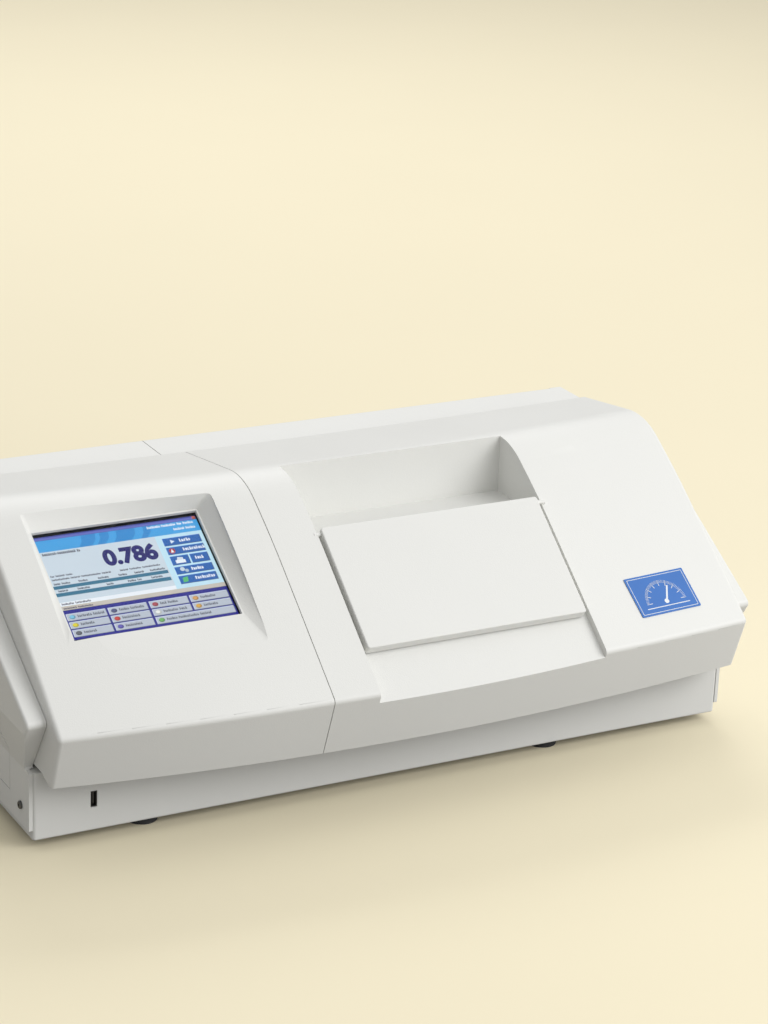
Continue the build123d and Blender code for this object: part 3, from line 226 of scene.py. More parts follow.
def galvanised(name, colour):
    """Zinc-plated sheet: pale crystals of slightly different shade."""
    shader = Shader(name, Metallic=0.9)
    cells = shader.node("ShaderNodeTexVoronoi", {}, {"Vector": shader.place(), "Scale": 160}, output="Color")
    shade = shader.node("ShaderNodeSeparateColor", {}, {0: cells})
    film = shader.noise(30, 3.0)
    shader.set(Base_Color=shader.mix(shade * 0.6 + film * 0.4, tone(colour, 0.85), tone(colour, 1.12)))
    shader.set(Roughness=shade * 0.12 + film * 0.12 + 0.26)
    shader.bump(shade, 0.00002)
    return shader.material


LONG_STREAK, FINE_STREAK = 25, 2200


def brushed(name, colour, along, roughness=0.28):
    """Metal drawn or brushed along one axis."""
    shader = Shader(name, Metallic=1.0)
    scale = tuple(LONG_STREAK if axis == along else FINE_STREAK for axis in range(3))
    streak = shader.noise(1.0, 3.0, shader.stretched(scale))
    film = shader.noise(40, 3.0)
    shader.set(Base_Color=shader.mix(streak, tone(colour, 0.82), tone(colour, 1.1)))
    shader.set(Roughness=(streak - 0.5) * 0.25 + (film - 0.5) * 0.1 + roughness)
    shader.bump(streak, 0.00002)
    return shader.material


def anodised(name, colour):
    """Bead-blasted metal under a dyed oxide layer."""
    shader = Shader(name, Metallic=0.6)
    blast = shader.noise(1400, 2.0)
    film = shader.noise(20, 3.0)
    shader.set(Base_Color=shader.mix(film, tone(colour, 0.85), tone(colour, 1.2)))
    shader.set(Roughness=(blast - 0.5) * 0.15 + 0.42)
    shader.bump(blast, 0.00003)
    return shader.material


def clear_glass(name, colour, smear=0.02, index=1.5):
    """Polished glass with a trace of smear in its gloss."""
    shader = Shader(name, Transmission_Weight=1.0, IOR=index)
    film = shader.noise(35, 4.0)
    shader.set(Base_Color=shader.mix(film, tone(colour, 0.97), colour))
    shader.set(Roughness=film * smear + 0.01)
    return shader.material


def enamel_print(name, colour):
    """Printed or moulded gloss colour, with a slight orange peel."""
    shader = Shader(name, Coat_Weight=0.5)
    peel = shader.noise(500, 2.0)
    drift = shader.noise(40, 2.0)
    shader.set(Base_Color=shader.mix(drift, tone(colour, 0.92), tone(colour, 1.08)))
    shader.set(Roughness=(peel - 0.5) * 0.1 + 0.32)
    shader.bump(peel, 0.00002)
    return shader.material


CELLS = 3600
CELL_DIM = (0.94, 0.96, 0.98)
UNLIT = (0.12, 0.12, 0.12)


def lit_picture(name):
    """The display's picture: each face has its colour, under the fine raster of the panel's cells."""
    shader = Shader(name, Roughness=0.4, Emission_Strength=0.92)
    colour = shader.node("ShaderNodeAttribute", {"attribute_name": "tint"}, output="Color")
    cell = shader.stretched((CELLS, CELLS, CELLS))
    raster = shader.node("ShaderNodeTexWave", {"bands_direction": "X"}, {"Vector": cell, "Scale": 0.3})
    glow = shader.noise(14, 1.0)
    shown = shader.mix(raster * 0.35 + glow * 0.4, colour, shader.multiplied(colour, CELL_DIM))
    shader.set(Base_Color=shader.multiplied(shown, UNLIT), Emission_Color=shown)
    return shader.material


def printed_white():
    """Thick white ink."""
    shader = Shader("printed_white", Coat_Weight=0.4)
    drift = shader.noise(300, 2.0)
    shader.set(Base_Color=shader.mix(drift, (0.74, 0.77, 0.80), (0.84, 0.86, 0.88)))
    shader.set(Roughness=drift * 0.1 + 0.32)
    return shader.material


def studio_floor(name, colour, bounce):
    """The floor: its own pale colour where it is seen, and a darker one in the light that it throws back."""
    shader = Shader(name, Roughness=0.9)
    seen = shader.node("ShaderNodeLightPath", output="Is Camera Ray")
    mirrored = shader.node("ShaderNodeLightPath", output="Is Glossy Ray")
    through = shader.node("ShaderNodeLightPath", output="Is Transmission Ray")
    drift = shader.noise(3, 2.0)
    pale = shader.mix(drift, tone(colour, 0.98), colour)
    shader.set(Base_Color=shader.mix(seen + mirrored + through, bounce, pale))
    return shader.material


COVER = (0.765, 0.765, 0.735)
BASE = (0.735, 0.735, 0.705)

FINISHES = {
    "cover_white": moulded_paint("moulded_cover_paint", COVER, 900, 0.00010, 0.46),
    "base_grey": moulded_paint("sheet_base_paint", BASE, 1300, 0.00006, 0.50),
    "zinc": galvanised("zinc_plate", (0.62, 0.64, 0.66)),
    "screw_steel": brushed("turned_screw_steel", (0.45, 0.45, 0.46), 0, 0.34),
    "aluminium_black": anodised("black_anodised_aluminium", (0.035, 0.035, 0.04)),
    "aluminium_plain": brushed("drawn_aluminium", (0.74, 0.75, 0.76), 0, 0.34),
    "steel": brushed("ground_steel", (0.66, 0.66, 0.68), 0, 0.22),
    "rubber_black": rubber("black_rubber", (0.030, 0.030, 0.032)),
    "plastic_black": grained_plastic("black_plastic", (0.035, 0.035, 0.038), 0.45),
    "plastic_grey": grained_plastic("grey_plastic", (0.35, 0.36, 0.37)),
    "badge_blue": enamel_print("blue_badge", (0.030, 0.155, 0.50)),
    "screen_glass": clear_glass("display_glass", (0.96, 0.98, 1.0), 0.05, 1.22),
    "optic_glass": clear_glass("optical_glass", (0.93, 0.97, 0.99)),
    "filter_glass": clear_glass("filter_glass", (0.95, 0.72, 0.25)),
    "copper_wire": brushed("enamelled_copper", (0.62, 0.24, 0.10), 0, 0.25),
    "brass": brushed("turned_brass", (0.72, 0.52, 0.20), 0, 0.26),
    "board_green": enamel_print("solder_resist_green", (0.015, 0.12, 0.045)),
    "ceramic": grained_plastic("glazed_ceramic", (0.72, 0.70, 0.64), 0.35),
}

# Nodes that differ from the finish of their slot
OWN_FINISH = {
    "lid_hinge_pins": FINISHES["cover_white"],
    # The USB socket's metal is near-black. This is painted shade that stands in for the dark inside of the
    # slot.
    "front_usb_port": anodised("socket_painted_shade", (0.05, 0.05, 0.05)),
    "end_panel_screws": brushed("blackened_screws", (0.12, 0.12, 0.12), 0, 0.4),
}


def dress_nodes():
    """Gives every node of the frame its own finish, or else that of its slot in the record."""
    for part in frame["record"]["subparts"]:
        node = frame["nodes"][part["node"]]
        finish = OWN_FINISH.get(part["node"], FINISHES[part["material_slot"]])
        node.data.materials.clear()
        node.data.materials.append(finish)


# Making pieces

def plane_frame(origin, across, normal):
    """A matrix at origin, in mm, whose x runs across and whose z is the normal."""
    across, normal = Vector(across).normalized(), Vector(normal).normalized()
    up = normal.cross(across)
    turn = Matrix((across, up, normal)).transposed().to_4x4()
    return Matrix.Translation(Vector(origin) * MM) @ turn


LEVEL_RISE = 0.02
KEY_EDGE = 3
STROKES_TALLER = 1.3
PEN, LETTER_PITCH = 0.3, 0.75  # of the strokes' height
LETTER_WIDTH = 0.78  # of the pitch
WORD_GAP = 8


def place_mesh(name, mesh, material=None):
    """An object at the origin for a mesh that is already in place."""
    if material is not None:
        mesh.materials.clear()
        mesh.materials.append(material)
    made = bpy.data.objects.new(name, mesh)
    bpy.context.collection.objects.link(made)
    return made


def plain_mesh(thing):
    """What a curve or a modified object evaluates to, as a mesh; the object itself is removed."""
    bpy.context.view_layer.update()
    mesh = bpy.data.meshes.new_from_object(thing.evaluated_get(bpy.context.evaluated_depsgraph_get()))
    bpy.data.objects.remove(thing)
    return mesh


def set_on(piece, body):
    """Says which body the piece moves with."""
    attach(piece, body)


class Sheet:
    """Flat coloured shapes, gathered in one mesh, each on its own level over the last."""

    def __init__(self, unit, width, height):
        self.unit = unit
        self.width = width
        self.height = height
        self.points = []
        self.faces = []
        self.tints = []

    def shape(self, outline, tint, level):
        start = len(self.points)
        for x, y in outline:
            across, up = (x - self.width / 2) * self.unit, (self.height / 2 - y) * self.unit
            self.points.append((across, up, level * LEVEL_RISE * MM))
        self.faces.append(tuple(reversed(range(start, start + len(outline)))))
        self.tints.append(tint)

    def panel(self, left, top, right, bottom, tint, level=1):
        self.shape([(left, top), (right, top), (right, bottom), (left, bottom)], tint, level)

    def disc(self, x, y, radius, tint, level, squash=1.0, steps=14):
        turns = [2 * pi * i / steps for i in range(steps)]
        self.shape([(x + radius * cos(t), y + radius * squash * sin(t)) for t in turns], tint, level)

    def button(self, left, top, right, bottom, tint, level=2):
        """A key with a lit upper left edge and a dark lower right edge."""
        edge = KEY_EDGE
        self.panel(left, top, right, bottom, tone(tint, 0.45), level)
        self.panel(left, top, right - edge, bottom - edge, tone(tint, 1.6), level + 1)
        self.panel(left + edge, top + edge, right - edge, bottom - edge, tint, level + 2)

    def words(self, left, middle, lengths, tint, tall=11, level=6):
        """Stand-in strokes for a caption: short stems, each with a cross stroke at one of three heights."""
        tall *= STROKES_TALLER
        top, bottom, pen = middle - tall / 2, middle + tall / 2, tall * PEN
        for length in lengths:
            letters = max(2, round(length / (tall * LETTER_PITCH)))
            step = length / letters
            for letter in range(letters):
                stem = left + letter * step
                end = stem + step * LETTER_WIDTH
                cross = (top, middle - pen / 2, bottom - pen)[(letter * 2 + letters) % 3]
                self.panel(stem, top if letter % 3 else top - pen, stem + pen * 1.3, bottom, tint, level)
                self.panel(stem, cross, end, cross + pen, tint, level)
                if letter % 2:
                    self.panel(end - pen, top + pen, end, bottom, tint, level)
            left += length + WORD_GAP

    def build(self, name, matrix, material):
        mesh = bpy.data.meshes.new(name)
        mesh.from_pydata([matrix @ Vector(p) for p in self.points], [], self.faces)
        layer = mesh.color_attributes.new("tint", "FLOAT_COLOR", "CORNER")
        for face, tint in zip(mesh.polygons, self.tints):
            for loop in face.loop_indices:
                layer.data[loop].color = (*tint, 1)
        return place_mesh(name, mesh, material)


def figures(text, height, weight, place, matrix, material, name):
    """Plain figures as a flat mesh, at place in the plane of matrix."""
    curve = bpy.data.curves.new(name, "FONT")
    curve.body = text
    curve.size = height
    curve.offset = height * weight
    curve.align_x = "CENTER"
    curve.align_y = "CENTER"
    flat = bpy.data.objects.new(name, curve)
    bpy.context.collection.objects.link(flat)
    mesh = plain_mesh(flat)
    mesh.transform(matrix @ Matrix.Translation(place))
    return place_mesh(name, mesh, material)


# The display: its place in mm, and its page in dots from the upper left corner

SCREEN_W, SCREEN_H = 152.7, 114.5
SCREEN_PLACE = (-219.0, -61.7, 203.1)
SCREEN_TILT = radians(31.5)
PICTURE_DROP = 2.15
PICTURE_W, PICTURE_H = 1040, 780
DOT = SCREEN_W / PICTURE_W * MM
PAGE_FIT = (0.998, 0.975)  # the page's width and height against the panel's
PAGE_SHIFT = 14  # the page starts this much to the right, clear of the pocket's rim

BLACK = (0.004, 0.004, 0.005)
NAVY = (0.004, 0.003, 0.07)
TITLE_DEEP = (0.06, 0.07, 0.34)
TITLE_BLUE = (0.13, 0.15, 0.50)
CORNER_RED = (0.45, 0.10, 0.06)
FRAME_BLUE = (0.012, 0.012, 0.25)
HEADER = (0.055, 0.36, 0.74)
HEADER_DEEP = (0.03, 0.26, 0.62)
PALE = (0.62, 0.70, 0.76)
KEY_GREY = (0.50, 0.54, 0.60)
KEY_BLUE = (0.015, 0.12, 0.42)
KEY_INK = (0.10, 0.11, 0.15)
CYAN = (0.55, 0.78, 0.88)
TEAL = (0.035, 0.17, 0.27)
WHITE = (0.86, 0.89, 0.92)
SAND = (0.58, 0.53, 0.46)
INK = (0.03, 0.03, 0.07)

# The page's bands, from the top down
LEFT, RIGHT = -PAGE_SHIFT, 1024
TITLE_TOP, TITLE_BOTTOM = 14, 40
TITLE_STRIP = (22, 1010, 38)
CORNER_KEY = (1000, 16, 1022, 38)
HEADER_BOTTOM = 126
RIBBONS = ((250, 90), (365, 60), (470, 120), (640, 50))
READING_RIGHT = 722
READING_BOTTOM = 545
READING_TALL, READING_WEIGHT, READING_LEVEL = 150, 0.05, 8
READING_MIDDLE = (545, 232)
TABLE_RIGHT = 715
VALUE_BARS = ((381, 405), (433, 459))
NOTE_BAR = (502, 530)
STATUS_BAR = (530, 560)
BLOCK_TOP, BLOCK_BOTTOM = 562, 776

# Captions: left end, middle line, the words' lengths and their height
HEADER_CAPTIONS = ((700, 57, (84, 92, 30, 66), 11), (858, 94, (70, 62), 11))
CAPTIONS = (
    (14, 147, (86, 112, 20), 12),
    (10, 310, (24, 56, 40), 8), (10, 336, (108, 58, 120, 56), 8), (432, 336, (52, 72, 112), 8),
    (12, 368, (40, 52), 9), (164, 368, (56,), 9), (284, 368, (66,), 9),
    (412, 368, (52,), 9), (512, 368, (60,), 9), (610, 368, (94,), 9),
    (22, 421, (60,), 9), (140, 421, (76,), 9), (320, 421, (44,), 9),
    (452, 421, (52, 28), 9), (600, 421, (70,), 9),
    (10, 517, (76, 96), 9), (12, 549, (80, 92), 8),
)

# Side keys: top, height, left and right ends, and the caption's words
SIDE_CAPTION_LEFT, SIDE_CAPTION_TALL = 862, 14
HALF_KEY_CAPTION = (914, 324, (54,))
SIDE_ROWS = (
    (152, 58, ((760, 1000),), (74,)),
    (222, 56, ((760, 1000),), (140,)),
    (290, 68, ((760, 876), (886, 1000)), ()),
    (372, 56, ((760, 1000),), (78,)),
    (440, 60, ((760, 1000),), (128,)),
)

# Keys of the block below: an icon's colour and the caption's words for each, row by row
BLOCK_ROWS = ((588, 640), (648, 698), (706, 758))
BLOCK_COLUMNS = ((8, 252), (264, 506), (520, 762), (774, 1016))
ICON_X, ICON_R, ICON_SQUASH = 34, 19, 0.8
ICON_FACE_SHIFT, ICON_FACE_R = 3, 14
BLOCK_CAPTION_X = 66
BLOCK_KEYS = (
    ((0.20, 0.55, 0.72), (88, 70)), ((0.09, 0.10, 0.22), (62, 84)),
    ((0.42, 0.07, 0.09), (40, 62)), ((0.70, 0.36, 0.10), (96,)),
    ((0.78, 0.66, 0.03), (84,)), ((0.62, 0.06, 0.05), (110,)),
    ((0.82, 0.82, 0.78), (92, 48)), ((0.75, 0.42, 0.08), (90,)),
    ((0.12, 0.13, 0.15), (80,)), ((0.12, 0.10, 0.45), (104,)), ((0.16, 0.45, 0.12), (66, 128, 72)),
)


def display_picture():
    """A measuring page: a heading, a reading, two rows of values, and keys at the right and below."""
    page = Sheet(DOT, PICTURE_W, PICTURE_H)
    page.panel(0, 0, PICTURE_W, PICTURE_H, BLACK, 0)
    page.panel(LEFT, TITLE_TOP, RIGHT, TITLE_BOTTOM, TITLE_DEEP, 1)
    page.panel(LEFT, *TITLE_STRIP, TITLE_BLUE, 2)
    page.button(*CORNER_KEY, CORNER_RED, 3)
    page.panel(LEFT, TITLE_BOTTOM, RIGHT, HEADER_BOTTOM, HEADER, 1)
    for x, width in RIBBONS:
        right = x + width
        page.shape([(x, HEADER_BOTTOM), (x + 30, 82), (x + 34, TITLE_BOTTOM), (right + 34, TITLE_BOTTOM),
                    (right + 26, 84), (right - 10, HEADER_BOTTOM)], HEADER_DEEP, 2)
    for left, middle, lengths, tall in HEADER_CAPTIONS:
        page.words(left, middle, lengths, WHITE, tall, 3)
    page.panel(LEFT, HEADER_BOTTOM, READING_RIGHT, READING_BOTTOM, PALE, 1)
    page.panel(READING_RIGHT, HEADER_BOTTOM, RIGHT, READING_BOTTOM, CYAN, 1)
    for top, bottom in VALUE_BARS:
        page.panel(LEFT, top, TABLE_RIGHT, bottom, TEAL, 2)
    page.panel(LEFT, NOTE_BAR[0], READING_RIGHT, NOTE_BAR[1], WHITE, 2)
    page.panel(LEFT, STATUS_BAR[0], RIGHT, STATUS_BAR[1], SAND, 2)
    for left, middle, lengths, tall in CAPTIONS:
        page.words(left, middle, lengths, INK, tall)
    side_keys(page)
    block_keys(page)
    return page


def side_keys(page):
    """Five rows of keys beside the reading, with a caption or an icon on each."""
    for top, height, ends, words in SIDE_ROWS:
        for left, right in ends:
            page.button(left, top, right, top + height, KEY_BLUE)
        page.words(SIDE_CAPTION_LEFT, top + height / 2, words, WHITE, SIDE_CAPTION_TALL)
    page.words(*HALF_KEY_CAPTION, WHITE, SIDE_CAPTION_TALL)
    side_icons(page)


def side_icons(page):
    """An arrow, a warning disc, a printer, two wheels and a leaf."""
    page.shape([(806, 166), (832, 181), (806, 196)], (0.72, 0.82, 0.9), 6)
    page.disc(792, 250, 20, (0.45, 0.03, 0.03), 6)
    page.shape([(782, 262), (792, 234), (803, 262)], WHITE, 7)
    page.panel(786, 322, 848, 346, WHITE, 6)
    page.shape([(796, 322), (806, 300), (838, 306), (838, 322)], (0.7, 0.75, 0.8), 6)
    page.disc(806, 392, 15, (0.6, 0.68, 0.74), 6)
    page.disc(830, 406, 12, (0.45, 0.55, 0.64), 7)
    page.shape([(784, 456), (818, 450), (812, 486), (780, 490)], (0.10, 0.50, 0.16), 6)


def block_keys(page):
    """Three rows of keys, each with a round icon; the last one is as wide as two."""
    page.panel(LEFT, BLOCK_TOP, RIGHT, BLOCK_BOTTOM, FRAME_BLUE, 1)
    for number, (icon, words) in enumerate(BLOCK_KEYS):
        row, column = divmod(number, len(BLOCK_COLUMNS))
        top, bottom = BLOCK_ROWS[row]
        left, right = BLOCK_COLUMNS[column]
        if number == len(BLOCK_KEYS) - 1:
            right = BLOCK_COLUMNS[-1][1]
        middle = (top + bottom) / 2
        page.button(left, top, right, bottom, KEY_GREY)
        icon_x = left + ICON_X
        page.disc(icon_x, middle, ICON_R, tone(icon, 0.6), 6, ICON_SQUASH)
        page.disc(icon_x - ICON_FACE_SHIFT, middle - ICON_FACE_SHIFT, ICON_FACE_R, icon, 7, ICON_SQUASH)
        page.words(left + BLOCK_CAPTION_X, middle, words, KEY_INK)


def make_display():
    """The lit page under the display's glass, and the reading's figures just above it."""
    normal = Vector((0, -sin(SCREEN_TILT), cos(SCREEN_TILT)))
    face = plane_frame(Vector(SCREEN_PLACE) - normal * PICTURE_DROP, (1, 0, 0), normal)
    wider, lower = PAGE_FIT
    shift = ((wider - 1) / 2 + PAGE_SHIFT / PICTURE_W) * SCREEN_W * MM, (1 - lower) / 2 * SCREEN_H * MM, 0
    fitted = face @ Matrix.Translation(shift) @ Matrix.Diagonal((wider, lower, 1, 1))
    picture = display_picture().build("display_picture", fitted, lit_picture("lit_picture"))
    set_on(picture, "instrument")
    ink = Shader("lit_figures", Roughness=0.4, Emission_Strength=1.0)
    shade = ink.mix(ink.noise(30, 1.0), NAVY, tone(NAVY, 1.3))
    ink.set(Base_Color=shade, Emission_Color=shade)
    x, y = READING_MIDDLE
    place = ((x - PICTURE_W / 2) * DOT, (PICTURE_H / 2 - y) * DOT, READING_LEVEL * LEVEL_RISE * MM)
    tall = READING_TALL * DOT
    reading = figures("0.786", tall, READING_WEIGHT, place, face, ink.material, "display_reading")
    set_on(reading, "instrument")


# The badge's marks

BADGE_X, BADGE_S = 262.0, 45.5
RIDGE_Y, RIDGE_Z, SLOPE, BOW_R = -197.4, 120.0, radians(38), 2955.0
BADGE_FACE = 0.72
PRINT_WHITE = (0.8, 0.8, 0.8)
RIM_W, RIM_H, RIM_LINE = 31.0, 18.7, 0.5
SCALE_MIDDLE, SCALE_R = 9.0, 22.0
POINTER = ((-0.9, 9.0), (7.6, -6.6), (9.0, -5.9), (0.9, 9.6))
POINTER_HUB = 2.4
RULE = (-24, 13.2, 24, 14.0)


def badge_frame(lift):
    """The plane of the badge, on the slope of the bowed hood, lift mm above it."""
    turn = asin(BADGE_X / BOW_R)
    normal = Vector((sin(turn) * sin(SLOPE), -cos(turn) * sin(SLOPE), cos(SLOPE)))
    across = Vector((cos(turn), sin(turn), 0))
    up = normal.cross(across)
    origin = Vector((BADGE_X, RIDGE_Y + BOW_R * (1 - cos(turn)), RIDGE_Z)) + up * BADGE_S + normal * lift
    return plane_frame(origin, across, normal)


def make_badge_marks():
    """A plain half-round scale with a pointer and a rule, in white on the badge."""
    marks = Sheet(MM, 0, 0)
    rim = (
        (-RIM_W, -RIM_H, RIM_W, RIM_LINE - RIM_H),
        (-RIM_W, RIM_H - RIM_LINE, RIM_W, RIM_H),
        (-RIM_W, -RIM_H, RIM_LINE - RIM_W, RIM_H),
        (RIM_W - RIM_LINE, -RIM_H, RIM_W, RIM_H),
    )
    for line in rim:
        marks.panel(*line, PRINT_WHITE)
    marks.shape(POINTER, PRINT_WHITE, 2)
    marks.disc(0, SCALE_MIDDLE, POINTER_HUB, PRINT_WHITE, 3)
    marks.panel(*RULE, PRINT_WHITE)
    set_on(marks.build("badge_scale", badge_frame(BADGE_FACE), printed_white()), "instrument")


# What repeats

class Growth:
    """A Geometry Nodes tree with named inputs that places copies of a template and makes them one mesh."""

    def __init__(self, name, inputs):
        self.group = bpy.data.node_groups.new(name, "GeometryNodeTree")
        self.group.interface.new_socket("Geometry", in_out="OUTPUT", socket_type="NodeSocketGeometry")
        self.keys = {}
        for label, kind in inputs.items():
            socket = self.group.interface.new_socket(label, in_out="INPUT", socket_type="NodeSocket" + kind)
            self.keys[label] = socket.identifier
        self.source = self.group.nodes.new("NodeGroupInput")
        self.sink = self.group.nodes.new("NodeGroupOutput")

    def node(self, kind, settings=None, inputs=None):
        made = self.group.nodes.new(kind)
        for key, value in (settings or {}).items():
            setattr(made, key, value)
        for key, value in (inputs or {}).items():
            if isinstance(value, bpy.types.NodeSocket):
                self.group.links.new(value, made.inputs[key])
            else:
                made.inputs[key].default_value = value
        return made

    def given(self, label):
        """The tree's own input of that name."""
        return self.source.outputs[label]

    def calc(self, operation, first, second):
        return self.node("ShaderNodeMath", {"operation": operation}, {0: first, 1: second}).outputs[0]

    def close(self, points, turn, size=None):
        """Copies of the template on the points, realised, in the given material."""
        template = self.node("GeometryNodeObjectInfo", {}, {"Object": self.given("Template")})
        inputs = {"Points": points, "Instance": template.outputs["Geometry"], "Rotation": turn}
        if size is not None:
            inputs["Scale"] = size
        copies = self.node("GeometryNodeInstanceOnPoints", {}, inputs).outputs[0]
        solid = self.node("GeometryNodeRealizeInstances", {}, {0: copies}).outputs[0]
        inputs = {"Geometry": solid, "Material": self.given("Material")}
        dressed = self.node("GeometryNodeSetMaterial", {}, inputs).outputs[0]
        self.group.links.new(dressed, self.sink.inputs[0])

    def grow(self, name, matrix, body, slot, **values):
        """Runs the tree with these values and leaves one plain mesh, in place, on its body."""
        holder = bpy.data.objects.new(name, bpy.data.meshes.new(name + "_seed"))
        bpy.context.collection.objects.link(holder)
        modifier = holder.modifiers.new("growth", "NODES")
        modifier.node_group = self.group
        for label, value in values.items():
            modifier[self.keys[label.replace("_", " ")]] = value
        mesh = plain_mesh(holder)
        bpy.data.objects.remove(values["Template"])
        mesh.name = name
        mesh.transform(matrix)
        set_on(place_mesh(name, mesh), body)


def round_growth():
    """Copies round a circle in the XY plane: Count of them, Step apart, from Start."""
    sizes = {"Template": "Object", "Material": "Material", "Count": "Int", "Radius": "Float",
             "Start": "Float", "Step": "Float"}
    tree = Growth("copies_round", sizes)
    index = tree.node("GeometryNodeInputIndex").outputs[0]
    angle = tree.calc("ADD", tree.calc("MULTIPLY", index, tree.given("Step")), tree.given("Start"))
    across = tree.calc("MULTIPLY", tree.calc("COSINE", angle, 0.0), tree.given("Radius"))
    along = tree.calc("MULTIPLY", tree.calc("SINE", angle, 0.0), tree.given("Radius"))
    place = tree.node("ShaderNodeCombineXYZ", {}, {"X": across, "Y": along}).outputs[0]
    points = tree.node("GeometryNodePoints", {}, {"Count": tree.given("Count"), "Position": place}).outputs[0]
    turn = tree.node("ShaderNodeCombineXYZ", {}, {"Z": angle}).outputs[0]
    tree.close(points, turn)
    return tree


def row_growth():
    """Copies in rows and columns in the XY plane, with a random size along X between Least and 1."""
    sizes = {"Template": "Object", "Material": "Material", "Columns": "Int", "Rows": "Int",
             "Pitch X": "Float", "Pitch Y": "Float", "Least": "Float", "Seed": "Int"}
    tree = Growth("copies_in_rows", sizes)
    index = tree.node("GeometryNodeInputIndex").outputs[0]
    columns = tree.given("Columns")
    row = tree.calc("FLOOR", tree.calc("DIVIDE", index, columns), 0.0)
    column = tree.calc("SUBTRACT", index, tree.calc("MULTIPLY", row, columns))
    across = tree.calc("MULTIPLY", column, tree.given("Pitch X"))
    along = tree.calc("MULTIPLY", row, tree.given("Pitch Y"))
    place = tree.node("ShaderNodeCombineXYZ", {}, {"X": across, "Y": along}).outputs[0]
    count = tree.calc("MULTIPLY", columns, tree.given("Rows"))
    points = tree.node("GeometryNodePoints", {}, {"Count": count, "Position": place}).outputs[0]
    chance = tree.node("FunctionNodeRandomValue", {"data_type": "FLOAT"},
                       {2: tree.given("Least"), 3: 1.0, "Seed": tree.given("Seed")}).outputs[1]
    size = tree.node("ShaderNodeCombineXYZ", {}, {"X": chance, "Y": 1.0, "Z": 1.0}).outputs[0]
    tree.close(points, (0.0, 0.0, 0.0), size)
    return tree


def template_block(width, depth, height, chamfer=0.0):
    """A block on the XY plane, centred in X and Y, with its edges cut."""
    mesh = bpy.data.meshes.new("block")
    made = bmesh.new()
    bmesh.ops.create_cube(made, size=1.0)
    bmesh.ops.scale(made, vec=(width * MM, depth * MM, height * MM), verts=made.verts)
    bmesh.ops.translate(made, vec=(0, 0, height * MM / 2), verts=made.verts)
    if chamfer:
        edges = made.edges[:]
        bmesh.ops.bevel(made, geom=edges, offset=chamfer * MM, segments=2, affect="EDGES", profile=0.5)
    made.to_mesh(mesh)
    made.free()
    block = bpy.data.objects.new("block", mesh)
    bpy.context.collection.objects.link(block)
    return block


# Badge graduation: piece, count, width and length
GRADUATION = (("badge_ticks", 49, 0.28, 3.0), ("badge_long_ticks", 9, 0.55, 6.0))
PRINT_RISE = 0.12

ENCODER_PLACE = (238.0, -107.0, 108.0)
ENCODER_R, ENCODER_LINES = 24.0, 180
ENCODER_LINE = (4.0, 0.35, 0.05)

# Serial pins: piece, x and z of the first, and how many
SERIAL_PINS = (("serial_pins_upper", -65.5, 61.4, 5), ("serial_pins_lower", -64.1, 58.6, 4))
SERIAL_FACE_Y, SERIAL_PITCH = 182.0, 2.76
SERIAL_PIN = (1.0, 1.0, 8.0, 0.25)

FOOT_HEIGHT, TRAY_SHEET, BOARD_RISE = 9.0, 1.5, 9.6
BOARD_CORNER = (-128, -5, FOOT_HEIGHT + TRAY_SHEET + BOARD_RISE)
CHIP = (11.0, 6.0, 1.6, 0.2)
RESISTOR = (3.2, 1.6, 0.6, 0.1)
CHIP_PITCH, RESISTOR_PITCH, ROW_PITCH = 15.0, 5.0, 12.0


def make_graduations(rounds):
    """The badge's ticks over half a turn and the encoder's lines over a whole one."""
    badge = badge_frame(BADGE_FACE) @ Matrix.Translation((0, -SCALE_MIDDLE * MM, 0))
    white = printed_white()
    for name, count, width, length in GRADUATION:
        tick = template_block(length, width, PRINT_RISE)
        middle = (SCALE_R - length / 2) * MM
        rounds.grow(name, badge, "instrument", "badge_blue", Template=tick, Material=white, Count=count,
                    Radius=middle, Start=0.0, Step=pi / (count - 1))
    encoder = plane_frame(ENCODER_PLACE, (0, 1, 0), (1, 0, 0))
    line = template_block(*ENCODER_LINE)
    rounds.grow("encoder_lines", encoder, "analyzer_rotor", "optic_glass", Template=line,
                Material=FINISHES["plastic_black"], Count=ENCODER_LINES, Radius=ENCODER_R * MM, Start=0.0,
                Step=2 * pi / ENCODER_LINES)


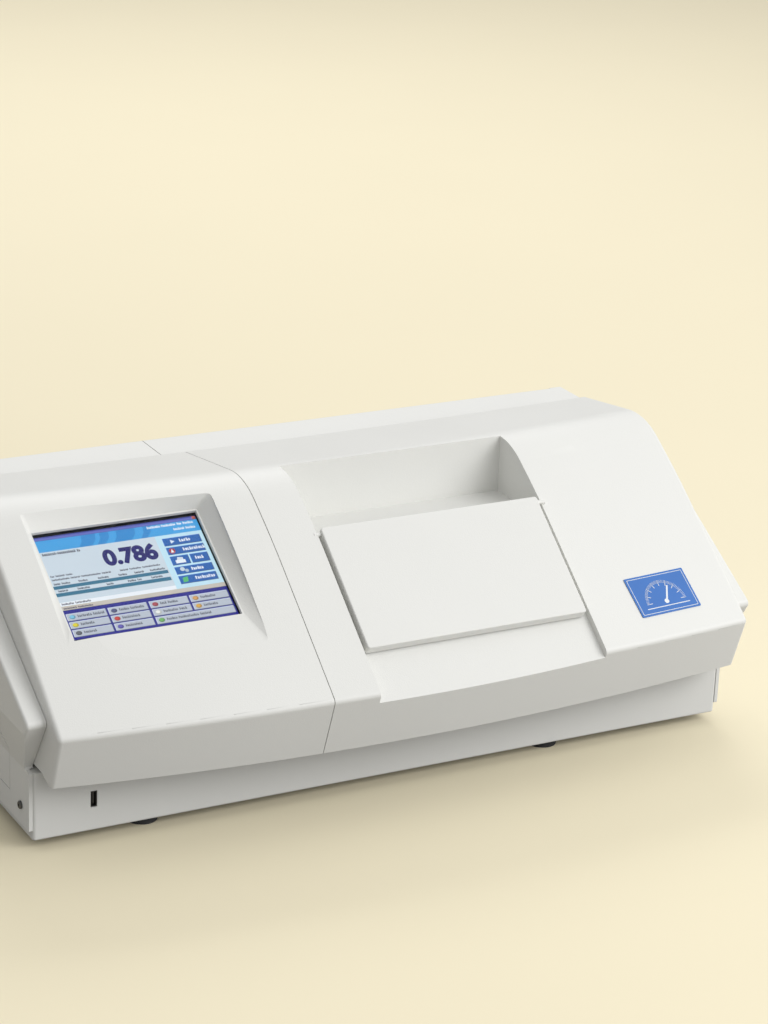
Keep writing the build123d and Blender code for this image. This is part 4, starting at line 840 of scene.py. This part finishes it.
def make_rows(rows):
    """The serial connector's pins, and the board's chips and resistors, each of these of a random length."""
    for name, x, z, count in SERIAL_PINS:
        pins = plane_frame((x, SERIAL_FACE_Y, z), (1, 0, 0), (0, 1, 0))
        rows.grow(name, pins, "instrument", "brass", Template=template_block(*SERIAL_PIN),
                  Material=FINISHES["brass"], Columns=count, Rows=1, Pitch_X=SERIAL_PITCH * MM, Pitch_Y=0.0,
                  Least=1.0, Seed=1)
    board = Matrix.Translation(Vector(BOARD_CORNER) * MM)
    rows.grow("board_chips", board, "instrument", "plastic_black", Template=template_block(*CHIP),
              Material=FINISHES["plastic_black"], Columns=7, Rows=3, Pitch_X=CHIP_PITCH * MM,
              Pitch_Y=ROW_PITCH * MM, Least=0.35, Seed=4)
    between = board @ Matrix.Translation((0, ROW_PITCH / 2 * MM, 0))
    rows.grow("board_resistors", between, "instrument", "ceramic", Template=template_block(*RESISTOR),
              Material=FINISHES["ceramic"], Columns=20, Rows=2, Pitch_X=RESISTOR_PITCH * MM,
              Pitch_Y=ROW_PITCH * MM, Least=0.5, Seed=9)


# Studio

SKY_LEAN = (0.42, -0.38, 0.75)
SKY_DARK, SKY_BRIGHT = (0.0, (0.52, 0.52, 0.52)), (0.80, (1.0, 1.0, 1.0))
WORLD_LIGHT = 0.785
LAMP_TARGET = (0, 0, 0.1)
KEY_PLACE, KEY_SIZE, KEY_POWER = (1.9, -2.2, 1.75), (2.6, 2.2), 66
EDGE_PLACE, EDGE_SIZE, EDGE_POWER = (1.0, 3.0, 2.6), (2.4, 1.0), 40
FLOOR, FLOOR_BOUNCE, FLOOR_REACH = (0.87, 0.79, 0.58), (0.28, 0.27, 0.25), 30.0


def make_sky():
    """Soft light from above that falls off towards the horizon."""
    world = bpy.data.worlds.new("studio")
    world.use_nodes = True
    sky = Nodes(world.node_tree)
    direction = sky.node("ShaderNodeTexCoord", output="Generated")
    dot = {"operation": "DOT_PRODUCT"}
    height = sky.node("ShaderNodeVectorMath", dot, {0: direction, 1: SKY_LEAN}, "Value")
    shade = sky.node("ShaderNodeValToRGB", {"stops": (SKY_DARK, SKY_BRIGHT)}, {0: height})
    background = world.node_tree.nodes["Background"]
    sky.feed(background.inputs["Color"], shade)
    sky.feed(background.inputs["Strength"], WORLD_LIGHT)
    bpy.context.scene.world = world


def make_studio():
    """The sky, two lamps that model the form, and the floor."""
    make_sky()
    softbox("key", KEY_PLACE, LAMP_TARGET, *KEY_SIZE, KEY_POWER)
    softbox("edge", EDGE_PLACE, LAMP_TARGET, *EDGE_SIZE, EDGE_POWER)
    mesh = bpy.data.meshes.new("floor")
    reach = FLOOR_REACH
    corners = [(-reach, -reach, 0), (reach, -reach, 0), (reach, reach, 0), (-reach, reach, 0)]
    mesh.from_pydata(corners, [], [(0, 1, 2, 3)])
    place_mesh("floor", mesh, studio_floor("floor_cream", FLOOR, FLOOR_BOUNCE))


make_camera()
make_studio()
dress_nodes()
make_display()
make_badge_marks()
make_graduations(round_growth())
make_rows(row_growth())

bpy.context.scene.view_settings.view_transform = "Standard"
